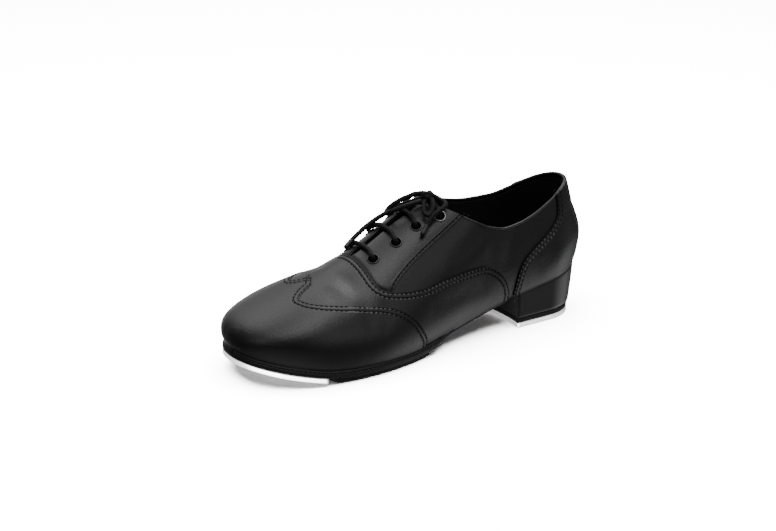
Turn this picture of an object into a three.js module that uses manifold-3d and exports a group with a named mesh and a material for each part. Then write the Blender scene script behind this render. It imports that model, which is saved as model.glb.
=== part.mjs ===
// Tap shoe, left, about 251 mm long. Millimetres, +X to the toe, +Y to the wearer's left, +Z up.
// The origin is on the floor under the middle of the shoe. The last's own x starts at the heel.
import * as THREE from "three";
import { mergeVertices } from "three/addons/utils/BufferGeometryUtils.js";
import Module from "manifold-3d";

const wasm = await Module();
wasm.setup();

// Driving sizes of the last
const LENGTH = 250; // heel to toe along the feather edge
const HEEL_ROUND = 30; // length of the rounded heel end
const TOE_ROUND = 52; // length of the rounded toe end
const TOE_POWER = 2.45; // squareness of the toe in plan
const TOE_WALL = 10; // height of the toe's tip over the feather edge
const TOE_BULGE = 2.2;
const HEEL_BULGE = 4;
const HEEL_MID = 20; // height of the fullest point of the heel's back
const HEEL_LEAN = 2.8;
const CLASP = 0.1; // how far the quarters close in over the heel
const FEATHER_ANGLE = (35 * Math.PI) / 180; // where the side starts on its lower arc
const SOFTNESS = 0.02; // rounds the crown of a section
const LOW_PART = 0.25; // share of a section's rows under its widest line

// Leather and gaps
const GAP = 0.3;
const LINING = 3; // depth of the upper's inner face under the panels' outer face
const BASE = 1.2; // depth of the upper's outer face
const PANEL_IN = 0.9; // depth of a panel's inner face
const PANEL_OUT = 0.1; // depth of a panel's outer face
const CAP_OUT = -0.5; // the cap lies over the vamp
const TONGUE = 1.8;
const TONGUE_FROM = 117;
const TONGUE_TO = 176;
const TONGUE_HALF = 19;
const INSOLE = 2.6;

// Sole, heel and taps
const SOLE_MARGIN = 1.8;
const SEAT_FROM = 3.6; // back end of the sole, inside the heel block
const PLATE = 3; // forepart tap and pad
const TAP_FROM = 205; // back edge of the toe tap, at its middle
const PAD_FROM = 134;
const PAD_INSET = 2.2;
const HEEL_FRONT = 58.3;
const HEEL_BACK = 6.2;
const HEEL_HALF = 25.8;
const HEEL_RADIUS = 27; // rounding of the heel's back at the floor
const HEEL_HOLLOW = 2.2; // how far the breast is dished
const HEEL_PLATE = 2.8;
const LIFT = 3;
const LIFT_INSET = 0.4;

// Lace and eyelets
const LACE = 2.5;
const BAR_LIFT = 1.75; // centre of a bar over the facings' outer face
const KNOT_AT = [115.5, 6.5, 95.2];
const KNOT_HALF = [4.2, 3.8, 2.7];
const EYELET_HOLE = 3.6;
const EYELET_BARREL = 5;
const EYELET_FLANGE = 8;

const table = (names, rows) => {
  const keys = names.split(" ");
  return rows.map((row) => Object.fromEntries(keys.map((key, i) => [key, row[i]])));
};

// Half widths on both sides of the centre line, tuck under the widest line, crown, belly and fullness
const LAST = table("x near far centre tuckNear tuckFar ridge belly full", [
  [0, 26, 28, 0.5, 3.4, 3.4, 168, 22, 2.4],
  [30, 28.6, 30, -0.5, 3.6, 3.6, 150, 21.4, 2.3],
  [65, 30.6, 29.2, -0.3, 4, 5, 127, 21.7, 2.15],
  [100, 33.5, 29, 0, 5, 7.5, 98, 21, 2.5],
  [116, 35.6, 31, 0.3, 4.6, 6.5, 89.5, 18, 2.2],
  [135, 39.2, 34.5, 0.5, 3.9, 4.9, 80.8, 15.4, 1.9],
  [170, 44.4, 40.7, 0.9, 2.8, 2.8, 62.4, 12, 1.74],
  [200, 43.9, 43.4, 0.3, 2.4, 2.4, 52.5, 12, 1.97],
  [225, 41.6, 42.3, -0.4, 2.6, 2.6, 46, 10.5, 2.19],
  [250, 37.8, 38.8, -0.7, 2.5, 2.5, 42.6, 8.4, 2.3],
]);

// Top of the sole: seat, waist, flat tread and toe spring
const FLOOR = table("x z", [
  [0, 32.5], [30, 27.4], [65, 21.9], [100, 14.3], [125, 10.2],
  [150, 8.1], [188, 8.1], [203, 9], [225, 12.9], [250, 18.6],
]);

// Height of the collar on both sides
const COLLAR = table("x near far", [
  [0, 86.7, 86.7], [20, 83.5, 80.5], [45, 74, 72.5], [70, 69.4, 74],
  [95, 78.8, 79.5], [108, 85, 84], [120, 91, 90],
]);

// Half of the opening between the facings
const THROAT = table("x half", [
  [100, 9], [112, 7.5], [120, 5.5], [131, 3], [146, 2.2], [160, 2], [166, 1.5], [169, 0],
]);

// Sole: how far it stands out from the feather edge, and how thick it is
const SOLE = table("x out thick", [
  [0, -3.5, 2], [60, -3.5, 2], [70, -1, 2.2], [112, -0.8, 2.8], [121, 0.4, 4.2],
  [128, SOLE_MARGIN, 4.8], [252, SOLE_MARGIN, 4.8],
]);

// Panel edges seen from the side and half above: x, and the height across that view
const CAP_EDGE = table("x t", [
  [137, -34], [136.8, -19.1], [142, -14], [148, -8.5], [156.2, -3.4], [165.8, 1.4], [180, 5.7],
  [193.5, 9.6], [205.8, 14.7], [211.5, 19.6], [213, 23.5], [208.2, 28], [199.8, 32.6], [196, 38],
]);
const VAMP_EDGE = table("x t", [
  [66.5, -34], [67.2, -1.4], [71.5, 4], [76, 7.4], [80.2, 9.6], [85, 11.2], [90, 11.9], [101.5, 11.1],
  [121.5, 8.9], [138.8, 6.6], [148.8, 7], [157.8, 8.7], [163.8, 11.1], [167.8, 15.9],
  [169, 22.4], [169.2, 30.6], [169.4, 50],
]);
const FACING_EDGE = table("x t", [
  [98, 43], [102, 40.9], [118, 33.6], [130, 28.2], [142.5, 21.9], [151, 16.7], [157, 11.9], [161, 6],
]);
const COUNTER_EDGE = table("x t", [
  [27.5, 60], [26.5, 46], [25.5, 41], [26.4, 33.3], [33.8, 25], [42, 20.2], [49, 16.4],
  [57.5, 10.6], [61.5, 3.7], [62.6, -2], [63, -30],
]);

// Eyelets, from the throat to the collar: station and half width
const EYELETS = table("x half", [[161.2, 13.7], [145, 14.5], [130.2, 14.5], [115, 18.3]]);

// Centre lines of the bow: the loop and end that lie to the toe, and the loop and end on the near side
const LOOP_FRONT = [
  [118.8, 3.6, 97.15], [122.5, 1, 96.6], [127, -1.5, 94.6], [132, -3.5, 91.9], [136.5, -5.2, 88.3], [140.2, -5.4, 85.1],
  [140.6, -2.6, 84.2], [137.2, 0.2, 85.8], [130, 2.6, 89.6], [124, 4.8, 92.2], [120.6, 6.2, 93.9],
];
const LOOP_SIDE = [
  [116.4, 11.6, 96.2], [117.4, 13.7, 95], [119.2, 16.6, 91.6], [121.6, 18.2, 88.4],
  [123.6, 16, 88.6], [122.8, 12.2, 91.3], [120.2, 9.3, 93.8],
];
const END_FRONT = [
  [117.6, 1.4, 93.6], [121, -3, 91.8], [126, -6.8, 89.4], [131, -9.2, 86.8], [137, -10.6, 82.2],
  [147.2, -11, 77.2], [153, -10.9, 74.2], [157.6, -10.2, 71.7], [162.5, -8.6, 69.3], [168.8, -6, 66],
];
const END_SIDE = [
  [110.8, 8.65, 95.9], [109, 11.8, 95.8], [108.9, 15.4, 94], [110.6, 19.6, 91], [114.2, 22.4, 87.6],
  [121, 24.6, 83.2], [127.8, 25, 80.2], [134.4, 26.9, 75.6],
];

const ORIGIN_X = 124.416;
const ORIGIN_Y = 1.221;

const clamp = (v, a = 0, b = 1) => Math.min(b, Math.max(a, v));
const mix = (a, b, t) => a + (b - a) * t;

// Natural cubic curve through a column of a table
function curve(rows, key) {
  const n = rows.length;
  const x = rows.map((r) => r.x);
  const y = rows.map((r) => r[key]);
  const second = new Array(n).fill(0);
  const carry = new Array(n).fill(0);
  for (let i = 1; i < n - 1; i++) {
    const share = (x[i] - x[i - 1]) / (x[i + 1] - x[i - 1]);
    const pivot = share * second[i - 1] + 2;
    const bend = (y[i + 1] - y[i]) / (x[i + 1] - x[i]) - (y[i] - y[i - 1]) / (x[i] - x[i - 1]);
    second[i] = (share - 1) / pivot;
    carry[i] = ((6 * bend) / (x[i + 1] - x[i - 1]) - share * carry[i - 1]) / pivot;
  }
  for (let i = n - 2; i > 0; i--) second[i] = second[i] * second[i + 1] + carry[i];
  return (at) => {
    const i = clamp(x.findIndex((v) => v > at) - 1, 0, n - 2);
    const k = at >= x[n - 1] ? n - 2 : i;
    const h = x[k + 1] - x[k];
    const a = (x[k + 1] - at) / h;
    const b = 1 - a;
    return a * y[k] + b * y[k + 1] + (((a ** 3 - a) * second[k] + (b ** 3 - b) * second[k + 1]) * h * h) / 6;
  };
}

// Curve through a column that never overshoots, and stays level past its ends
function level(rows, key) {
  const n = rows.length;
  const x = rows.map((r) => r.x);
  const y = rows.map((r) => r[key]);
  const step = x.slice(1).map((v, i) => v - x[i]);
  const slope = step.map((h, i) => (y[i + 1] - y[i]) / h);
  const tangent = slope.concat(0).map((_, i) => {
    if (i === 0) return slope[0];
    if (i === n - 1) return slope[n - 2];
    if (slope[i - 1] * slope[i] <= 0) return 0;
    const a = 2 * step[i] + step[i - 1];
    const b = step[i] + 2 * step[i - 1];
    return (a + b) / (a / slope[i - 1] + b / slope[i]);
  });
  return (at) => {
    const v = clamp(at, x[0], x[n - 1]);
    const k = Math.max(0, v >= x[n - 1] ? n - 2 : x.findIndex((s) => s > v) - 1);
    const t = (v - x[k]) / step[k];
    const rise = t * t * (3 - 2 * t);
    const bow = step[k] * (t * (1 - t) ** 2 * tangent[k] - t * t * (1 - t) * tangent[k + 1]);
    return mix(y[k], y[k + 1], rise) + bow;
  };
}

const wideOf = { 1: curve(LAST, "near"), "-1": curve(LAST, "far") };
const tuckOf = { 1: curve(LAST, "tuckNear"), "-1": curve(LAST, "tuckFar") };
const collarOf = { 1: level(COLLAR, "near"), "-1": level(COLLAR, "far") };
const centre = curve(LAST, "centre");
const crown = curve(LAST, "ridge");
const belly = curve(LAST, "belly");
const full = curve(LAST, "full");
const floor = level(FLOOR, "z");
const throat = level(THROAT, "half");
const soleOut = level(SOLE, "out");
const soleThick = level(SOLE, "thick");

const toward = (x) => clamp((x - (LENGTH - TOE_ROUND)) / TOE_ROUND);

// Rounding of both ends in plan
function ends(x) {
  const heel = clamp((HEEL_ROUND - x) / HEEL_ROUND);
  const toe = Math.max(0, 1 - toward(x) ** TOE_POWER) ** (1 / TOE_POWER);
  return Math.sqrt(Math.max(0, 1 - heel * heel)) * toe;
}

function ridge(x) {
  const tip = floor(x) + TOE_WALL;
  return tip + (crown(x) - tip) * Math.sqrt(Math.max(0, 1 - toward(x) ** 2.6));
}

const swell = (c, power) => c * ((c * c + SOFTNESS) / (1 + SOFTNESS)) ** (1 / power - 0.5);

// A point of the last's surface: station, side (1 or -1), and height from 0 at the feather to 1 at the ridge
function surface(x, side, h) {
  const end = ends(x);
  const wide = wideOf[side](x) * end;
  const tuck = tuckOf[side](x) * end;
  const low = floor(x);
  const top = ridge(x);
  const rise = Math.min(belly(x), 0.45 * (top - low));
  let w;
  let z;
  if (h < LOW_PART) {
    const a = mix(FEATHER_ANGLE, Math.PI / 2, h / LOW_PART);
    w = wide - (tuck * (1 - Math.sin(a))) / (1 - Math.sin(FEATHER_ANGLE));
    z = low + rise * (1 - Math.cos(a) / Math.cos(FEATHER_ANGLE));
  } else {
    const b = (((h - LOW_PART) / (1 - LOW_PART)) * Math.PI) / 2;
    w = wide * swell(Math.max(0, Math.cos(b)), full(x));
    z = low + rise + (top - low - rise) * swell(Math.sin(b), full(x));
  }
  const q = z - low;
  const over = clamp(q / HEEL_MID - 1, 0, 3) ** 1.5;
  w *= 1 - CLASP * over * clamp((90 - x) / 90);
  const back = clamp((45 - x) / 45) ** 2;
  const bulge = HEEL_BULGE * Math.sin((clamp(q / HEEL_MID, 0, 2) * Math.PI) / 2) - HEEL_LEAN * over;
  const front = toward(x) ** 2 * TOE_BULGE * Math.sin(clamp(q / (top - low)) * Math.PI);
  return new THREE.Vector3(x - back * bulge + front, centre(x) + side * w, z);
}

// Height on a section where a measure first reaches its goal
function seek(x, side, done) {
  let a = LOW_PART;
  let b = 1;
  for (let i = 0; i < 40; i++) {
    const m = (a + b) / 2;
    if (done(surface(x, side, m))) b = m;
    else a = m;
  }
  return b;
}

const heightOf = (x, side, half) => seek(x, side, (p) => Math.abs(p.y - centre(x)) <= half);

// Top edge of the upper: collar, then the facing's edge, then the closed ridge
function topOf(x, side) {
  if (x >= THROAT.at(-1).x) return 1;
  const collar = x < COLLAR.at(-1).x ? seek(x, side, (p) => p.z >= collarOf[side](x)) : 1;
  return x < THROAT[0].x ? collar : Math.min(collar, heightOf(x, side, throat(x)));
}

// Stations evenly spaced round the plan, with the corners of the opening among them
function stations(count, from, to, extra = []) {
  const fine = Array.from({ length: 801 }, (_, i) => mix(from, to, (1 - Math.cos((i / 800) * Math.PI)) / 2));
  const run = [0];
  for (let i = 1; i < fine.length; i++) {
    const dy = wideOf[1](fine[i]) * ends(fine[i]) - wideOf[1](fine[i - 1]) * ends(fine[i - 1]);
    run.push(run[i - 1] + Math.hypot(fine[i] - fine[i - 1], dy));
  }
  const list = [from];
  for (let k = 1; k < count; k++) list.push(fine[run.findIndex((v) => v >= (run.at(-1) * k) / count)]);
  list.push(to);
  for (const x of extra) {
    const near = list.findIndex((v, i) => i > 0 && i < list.length - 1 && Math.abs(v - x) < 1.6);
    if (near > 0) list[near] = x;
    else list.push(x);
  }
  return list.sort((a, b) => a - b);
}

const ROWS = [0, 0.1, 0.2, 0.31, 0.43, 0.55, 0.67, 0.79, 0.9, 1];
const STATIONS = stations(22, 0, LENGTH, [114, 118, 165, 168, 169]);

// Columns of the whole upper: up the near side from heel to toe, then back along the far side
const COLUMNS = STATIONS.map((x) => ({ x, side: 1 }))
  .concat(STATIONS.slice(1, -1).reverse().map((x) => ({ x, side: -1 })));
const GRID = COLUMNS.map(({ x, side }) => ROWS.map((r) => surface(x, side, topOf(x, side) * r)));

const mirrorOf = (i) => (COLUMNS.length - i) % COLUMNS.length;
const closedAt = (i) => COLUMNS[i].x >= THROAT.at(-1).x;

const NORMALS = GRID.map((column, i) =>
  column.map((_, j) => {
    const n = COLUMNS.length;
    const along = GRID[(i + 1) % n][j].clone().sub(GRID[(i + n - 1) % n][j]);
    const up = column[Math.min(j + 1, ROWS.length - 1)].clone().sub(column[Math.max(j - 1, 0)]);
    const normal = up.cross(along).normalize();
    if (j === 0) normal.setZ(0).normalize();
    return normal;
  }),
);
NORMALS.forEach((column, i) => {
  if (!closedAt(i)) return;
  const sum = column.at(-1).clone().add(NORMALS[mirrorOf(i)].at(-1)).normalize();
  if (COLUMNS[i].x < LENGTH) sum.setY(0).normalize();
  column[ROWS.length - 1] = sum;
});
NORMALS.forEach((column, i) => {
  if (closedAt(i)) column[ROWS.length - 1] = NORMALS[Math.min(i, mirrorOf(i) || i)].at(-1);
});

// Merged mesh without the triangles that shrank to a line
function tidy(points, faces) {
  const raw = new THREE.BufferGeometry();
  raw.setAttribute("position", new THREE.Float32BufferAttribute(points.flatMap((p) => [p.x, p.y, p.z]), 3));
  raw.setIndex(faces.flat());
  return weld(raw);
}

function weld(geometry) {
  const bare = new THREE.BufferGeometry();
  bare.setAttribute("position", geometry.getAttribute("position"));
  if (geometry.index) bare.setIndex(geometry.index);
  const merged = mergeVertices(bare, 1e-3);
  const old = Array.from(merged.index.array);
  const kept = [];
  for (let i = 0; i < old.length; i += 3) {
    const [a, b, c] = old.slice(i, i + 3);
    if (a !== b && b !== c && a !== c) kept.push(a, b, c);
  }
  merged.setIndex(kept);
  return merged;
}

const solid = (geometry) => {
  const g = weld(geometry);
  return new wasm.Manifold(new wasm.Mesh({
    numProp: 3,
    vertProperties: new Float32Array(g.getAttribute("position").array),
    triVerts: new Uint32Array(g.index.array),
  }));
};

const geometryOf = (manifold) => {
  const mesh = manifold.getMesh();
  const g = new THREE.BufferGeometry();
  g.setAttribute("position", new THREE.BufferAttribute(new Float32Array(mesh.vertProperties), 3));
  g.setIndex(Array.from(mesh.triVerts));
  return g;
};

// Largest body of a cut piece: slivers left by a cut are dropped
const mainBody = (manifold) =>
  manifold.decompose().sort((a, b) => b.volume() - a.volume())[0];

const quad = (a, b, c, d) => [[a, b, c], [a, c, d]];

// Hollow shell between two depths under the panels' outer face
function shell(outer, inner) {
  const n = COLUMNS.length;
  const m = ROWS.length;
  const points = [];
  for (const depth of [outer, inner]) {
    GRID.forEach((column, i) => column.forEach((p, j) => {
      const q = p.clone().addScaledVector(NORMALS[i][j], -depth);
      if (j === 0) q.z = p.z + GAP;
      points.push(q);
    }));
  }
  const at = (layer, i, j) => layer * n * m + (i % n) * m + j;
  const faces = [];
  for (let i = 0; i < n; i++) {
    for (let j = 0; j < m - 1; j++) {
      faces.push(...quad(at(0, i, j), at(0, i, j + 1), at(0, i + 1, j + 1), at(0, i + 1, j)));
      faces.push(...quad(at(1, i, j), at(1, i + 1, j), at(1, i + 1, j + 1), at(1, i, j + 1)));
    }
    faces.push(...quad(at(0, i, 0), at(0, i + 1, 0), at(1, i + 1, 0), at(1, i, 0)));
    const top = m - 1;
    if (!(closedAt(i) && closedAt((i + 1) % n))) {
      faces.push(...quad(at(0, i, top), at(1, i, top), at(1, i + 1, top), at(0, i + 1, top)));
    }
  }
  return tidy(points, faces);
}

// Closed slab between two edges, a top and an underside, along x
function slab(xs, near, far, top, under, across = 6) {
  const points = [];
  for (const height of [top, under]) {
    for (const x of xs) {
      for (let k = 0; k <= across; k++) {
        const v = k / across;
        points.push(new THREE.Vector3(x, mix(far(x), near(x), v), height(x, v)));
      }
    }
  }
  const m = across + 1;
  const at = (layer, i, k) => layer * xs.length * m + i * m + k;
  const faces = [];
  for (let i = 0; i < xs.length - 1; i++) {
    for (let k = 0; k < across; k++) {
      faces.push(...quad(at(0, i, k), at(0, i + 1, k), at(0, i + 1, k + 1), at(0, i, k + 1)));
      faces.push(...quad(at(1, i, k), at(1, i, k + 1), at(1, i + 1, k + 1), at(1, i + 1, k)));
    }
    faces.push(...quad(at(0, i, 0), at(1, i, 0), at(1, i + 1, 0), at(0, i + 1, 0)));
    faces.push(...quad(at(0, i, across), at(0, i + 1, across), at(1, i + 1, across), at(1, i, across)));
  }
  const last = xs.length - 1;
  for (let k = 0; k < across; k++) {
    faces.push(...quad(at(0, 0, k), at(0, 0, k + 1), at(1, 0, k + 1), at(1, 0, k)));
    faces.push(...quad(at(0, last, k), at(1, last, k), at(1, last, k + 1), at(0, last, k + 1)));
  }
  return tidy(points, faces);
}

// Feather edge of one side, moved outwards in plan; the ends are stretched so the outline stays even
function edgeOf(side, out, extra = 0) {
  return (x) => {
    const grow = out(x) + extra;
    const scale = (LENGTH + 2 * grow) / LENGTH;
    const at = clamp(LENGTH / 2 + (x - LENGTH / 2) / scale, 0, LENGTH);
    const end = ends(at);
    const half = (wideOf[side](at) - tuckOf[side](at) + grow) * end;
    return centre(at) + side * Math.max(0, half);
  };
}

const flat = (value) => () => value;

// Prism through the whole shoe, seen half from above on one side
function prism(rows, side) {
  const shape = new THREE.Shape(rows.map((r) => new THREE.Vector2(r.x, r.t)));
  const s = Math.SQRT1_2;
  const depth = 260;
  const g = new THREE.ExtrudeGeometry(shape, { depth, bevelEnabled: false, steps: 1 });
  const look = new THREE.Vector3(0, side * s, s);
  const basis = new THREE.Matrix4().makeBasis(
    new THREE.Vector3(1, 0, 0),
    new THREE.Vector3(0, -side * s, s),
    new THREE.Vector3(0, -side * s, -s).multiplyScalar(side),
  );
  if (side > 0) basis.setPosition(look.multiplyScalar(depth - 60));
  else basis.setPosition(look.multiplyScalar(-60));
  return solid(g.applyMatrix4(basis));
}

const box = (x0, x1, y0, y1, z0, z1) =>
  solid(new THREE.BoxGeometry(x1 - x0, y1 - y0, z1 - z0).translate((x0 + x1) / 2, (y0 + y1) / 2, (z0 + z1) / 2));

const halves = { 1: box(-40, 300, 0, 120, -20, 200), "-1": box(-40, 300, -120, 0, -20, 200) };

// Outline from a panel's edge, moved by a gap across its own direction, and closed on given corners
function outline(rows, corners, shift = 0) {
  const moved = rows.map((r, i) => {
    const a = rows[Math.max(0, i - 1)];
    const b = rows[Math.min(rows.length - 1, i + 1)];
    const l = Math.hypot(b.x - a.x, b.t - a.t);
    return { x: r.x - (shift * (b.t - a.t)) / l, t: r.t + (shift * (b.x - a.x)) / l };
  });
  return moved.concat(table("x t", corners));
}

// A cut over both sides of the shoe
const bothSides = (rows) =>
  prism(rows, 1).intersect(halves[1]).add(prism(rows, -1).intersect(halves[-1]));

const capRegion = (shift) =>
  bothSides(outline(CAP_EDGE, [[196, 60], [300, 60], [300, -60], [137, -60]], shift));
const vampRegion = (shift) =>
  bothSides(outline(VAMP_EDGE, [[170, 70], [310, 70], [310, -60], [66.5, -60]], shift));
const facingRegion = (side) =>
  prism(outline(FACING_EDGE, [[180, 6], [180, 75], [98, 75]]), side)
    .intersect(side > 0 ? box(-40, 300, GAP, 120, -20, 200) : box(-40, 300, -120, -GAP, -20, 200));
const counterRegion = bothSides(outline(COUNTER_EDGE, [[-40, -30], [-40, 60]]));

const panelShell = solid(shell(PANEL_OUT, PANEL_IN));
const capShell = solid(shell(CAP_OUT, PANEL_IN));

// Frame of an eyelet on the panels' outer face
function eyeletFrame(row, side) {
  const h = heightOf(row.x, side, row.half);
  const p = surface(row.x, side, h);
  const along = surface(row.x + 0.5, side, h).sub(surface(row.x - 0.5, side, h));
  const up = surface(row.x, side, h + 0.004).sub(surface(row.x, side, h - 0.004));
  const normal = up.cross(along).multiplyScalar(side).normalize();
  const q = new THREE.Quaternion().setFromUnitVectors(new THREE.Vector3(0, 1, 0), normal);
  return { point: p, normal, turn: q, top: p.clone().addScaledVector(normal, -PANEL_OUT) };
}

const frames = [1, -1].map((side) => EYELETS.map((row) => eyeletFrame(row, side)));

const drill = (frame, across) => {
  const g = new THREE.CylinderGeometry(across / 2, across / 2, 9, 8);
  return solid(g.applyQuaternion(frame.turn).translate(...frame.point.toArray()));
};
const holes = frames.flat().map((f) => drill(f, EYELET_BARREL + 2 * GAP)).reduce((a, b) => a.add(b));

function eyelet(frame) {
  const hole = EYELET_HOLE / 2;
  const barrel = EYELET_BARREL / 2;
  const flange = EYELET_FLANGE / 2;
  const low = -(LINING - PANEL_OUT);
  const profile = [[hole, low], [barrel, low], [barrel, 0.3], [flange, 0.3], [flange - 0.5, 0.9], [hole, 0.9], [hole, low]];
  const g = new THREE.LatheGeometry(profile.map(([r, y]) => new THREE.Vector2(r, y)), 8);
  return weld(g.applyQuaternion(frame.turn).translate(...frame.top.toArray()));
}

// Tongue: a sheet just inside the facings, flatter than the crown of the last
function tonguePoint(x, side, half, depth) {
  const reach = Math.min(half, TONGUE_HALF);
  const shoulder = 11;
  const at = (w) => surface(x, side, heightOf(x, side, w));
  const p = at(Math.max(reach, shoulder));
  if (reach < shoulder) {
    const slope = (at(shoulder - 1).z - at(shoulder + 1).z) / 2;
    p.z += (slope * (shoulder ** 2 - reach ** 2)) / (2 * shoulder);
    p.y = centre(x) + side * reach;
  }
  const tilt = 0.62 + 0.38 * (1 - reach / TONGUE_HALF);
  p.z -= depth * tilt * 1.12;
  p.x -= depth * 0.42;
  p.y -= side * depth * 0.9 * (reach / TONGUE_HALF);
  return p;
}

function tongue() {
  const halvesAcross = [-1, -0.8, -0.58, -0.36, -0.16, 0, 0.16, 0.36, 0.58, 0.8, 1];
  const xs = Array.from({ length: 12 }, (_, i) => mix(TONGUE_FROM, TONGUE_TO, i / 11));
  const points = [];
  const depth = LINING + GAP + 0.35;
  for (const d of [depth, depth + TONGUE]) {
    for (const x of xs) {
      for (const v of halvesAcross) points.push(tonguePoint(x, v < 0 ? -1 : 1, Math.abs(v) * TONGUE_HALF, d));
    }
  }
  const m = halvesAcross.length;
  const at = (layer, i, k) => layer * xs.length * m + i * m + k;
  const faces = [];
  const last = xs.length - 1;
  for (let i = 0; i < last; i++) {
    for (let k = 0; k < m - 1; k++) {
      faces.push(...quad(at(0, i, k), at(0, i + 1, k), at(0, i + 1, k + 1), at(0, i, k + 1)));
      faces.push(...quad(at(1, i, k), at(1, i, k + 1), at(1, i + 1, k + 1), at(1, i + 1, k)));
    }
    faces.push(...quad(at(0, i, 0), at(1, i, 0), at(1, i + 1, 0), at(0, i + 1, 0)));
    faces.push(...quad(at(0, i, m - 1), at(0, i + 1, m - 1), at(1, i + 1, m - 1), at(1, i, m - 1)));
  }
  for (let k = 0; k < m - 1; k++) {
    faces.push(...quad(at(0, 0, k), at(0, 0, k + 1), at(1, 0, k + 1), at(1, 0, k)));
    faces.push(...quad(at(0, last, k), at(1, last, k), at(1, last, k + 1), at(0, last, k + 1)));
  }
  return tidy(points, faces);
}

// Heel: a ring of the outline at one share of its height, from the front corner round the back to the breast
function heelRing(share, grow) {
  const arc = 12;
  const round = 0.7;
  const ring = [];
  for (let i = 0; i <= 2 * arc; i++) {
    const side = i < arc ? 1 : -1;
    const u = Math.abs(i - arc) / arc;
    const turn = (Math.min(u / round, 1) * Math.PI) / 2;
    const past = clamp((u - round) / (1 - round));
    const plan = (back, radius) => mix(back + radius * (1 - Math.cos(turn)), HEEL_FRONT, past);
    const low = { x: plan(HEEL_BACK, HEEL_RADIUS), y: (HEEL_HALF - 0.8 * (1 - past)) * Math.sin(turn) ** 0.9 };
    const x = plan(0, HEEL_ROUND);
    const high = { x, y: Math.abs(edgeOf(side, flat(0.2))(x) - centre(x)) };
    const at = mix(low.x, high.x, share);
    const y = mix(low.y, high.y, share) + grow * Math.sin(turn);
    ring.push(new THREE.Vector2(at - grow * Math.cos(turn), side * y + centre(at) * share));
  }
  const [a, b] = [ring[0], ring.at(-1)];
  const across = 6;
  for (let k = 1; k < across; k++) {
    const v = k / across;
    ring.push(new THREE.Vector2(mix(b.x, a.x, v) - HEEL_HOLLOW * 4 * v * (1 - v), mix(b.y, a.y, v)));
  }
  return ring;
}

// Solid through heel rings: each level gives a ring and its height rule
function stack(levels) {
  const points = [];
  for (const { ring, z } of levels) ring.forEach((p) => points.push(new THREE.Vector3(p.x, p.y, z(p.x))));
  const n = levels[0].ring.length;
  const faces = [];
  for (let l = 0; l < levels.length - 1; l++) {
    for (let i = 0; i < n; i++) {
      const j = (i + 1) % n;
      faces.push(...quad(l * n + i, l * n + j, (l + 1) * n + j, (l + 1) * n + i));
    }
  }
  for (const [level_, up] of [[0, false], [levels.length - 1, true]]) {
    const { ring } = levels[level_];
    for (const [p, q, r] of THREE.ShapeUtils.triangulateShape(ring, [])) {
      const left = THREE.ShapeUtils.area([ring[p], ring[q], ring[r]]) > 0;
      faces.push((left === up ? [p, q, r] : [p, r, q]).map((k) => level_ * n + k));
    }
  }
  return tidy(points, faces);
}

// Tube with flat ends along points
function tube(points, steps, across = LACE, sides = 8) {
  const path = new THREE.CatmullRomCurve3(points, false, "centripetal");
  const ring = Array.from({ length: sides }, (_, i) => {
    const a = (i / sides) * 2 * Math.PI;
    return new THREE.Vector2((Math.cos(a) * across) / 2, (Math.sin(a) * across) / 2);
  });
  return weld(new THREE.ExtrudeGeometry(new THREE.Shape(ring), { extrudePath: path, steps, bevelEnabled: false }));
}

const vec = (x, y, z) => new THREE.Vector3(x, y, z);

// A lace bar from one eyelet over the opening to the other
function bar(index) {
  const [a, b] = [frames[0][index], frames[1][index]];
  const { x, half } = EYELETS[index];
  const over = (share, side) => {
    const p = surface(x, side, heightOf(x, side, share * half));
    return p.add(vec(0.3 * BAR_LIFT, side * 0.9 * share * BAR_LIFT, BAR_LIFT));
  };
  const start = (f, d) => f.top.clone().addScaledVector(f.normal, d);
  return tube([
    start(a, 1.9), start(a, 2.6), over(0.6, 1), over(0.25, 1), over(0.25, -1), over(0.6, -1), start(b, 2.6), start(b, 1.9),
  ], 11);
}

// Free cords from the knot, through points given as rows
const cord = (rows, steps) => tube(rows.map((p) => vec(...p)), steps);

const LEATHER = { color: 0x1b1b1c, roughness: 0.42, metalness: 0 };
const FINISH = {
  leather: LEATHER,
  lining: { color: 0x17171a, roughness: 0.7, metalness: 0 },
  sole: { color: 0x161616, roughness: 0.6, metalness: 0 },
  heel: { color: 0x151516, roughness: 0.35, metalness: 0 },
  rubber: { color: 0x101010, roughness: 0.8, metalness: 0 },
  metal: { color: 0xdcdde0, roughness: 0.28, metalness: 1 },
  lace: { color: 0x121212, roughness: 0.85, metalness: 0 },
};

const shoe = new THREE.Group();
const add = (name, geometry, finish) => {
  const g = geometry.index ? geometry.toNonIndexed() : geometry;
  g.deleteAttribute("normal");
  g.deleteAttribute("uv");
  const welded = weld(g);
  welded.computeVertexNormals();
  const mesh = new THREE.Mesh(welded, new THREE.MeshStandardMaterial(FINISH[finish]));
  mesh.name = name;
  mesh.position.set(-ORIGIN_X, -ORIGIN_Y, 0);
  shoe.add(mesh);
};

add("upper", geometryOf(solid(shell(BASE, LINING)).subtract(holes)), "leather");
add("toe_cap", geometryOf(mainBody(capShell.intersect(capRegion(0)))), "leather");
add("vamp", geometryOf(mainBody(panelShell.intersect(vampRegion(0)).subtract(capRegion(GAP)))), "leather");
const vampKeepOut = vampRegion(GAP);
for (const [side, name] of [[1, "left"], [-1, "right"]]) {
  const piece = panelShell.intersect(facingRegion(side)).subtract(vampKeepOut).subtract(holes);
  add(`facing_${name}`, geometryOf(mainBody(piece)), "leather");
}
add("heel_counter", geometryOf(mainBody(panelShell.intersect(counterRegion))), "leather");
add("tongue", tongue(), "lining");

const insoleEdge = flat(-LINING - 2 * GAP);
const insoleXs = stations(18, LINING + 2 * GAP + 0.1, LENGTH - LINING - 2 * GAP - 0.1);
add("insole", slab(insoleXs, edgeOf(1, insoleEdge), edgeOf(-1, insoleEdge),
  (x) => floor(x) + GAP + INSOLE, (x) => floor(x) + GAP, 4), "lining");

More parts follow.
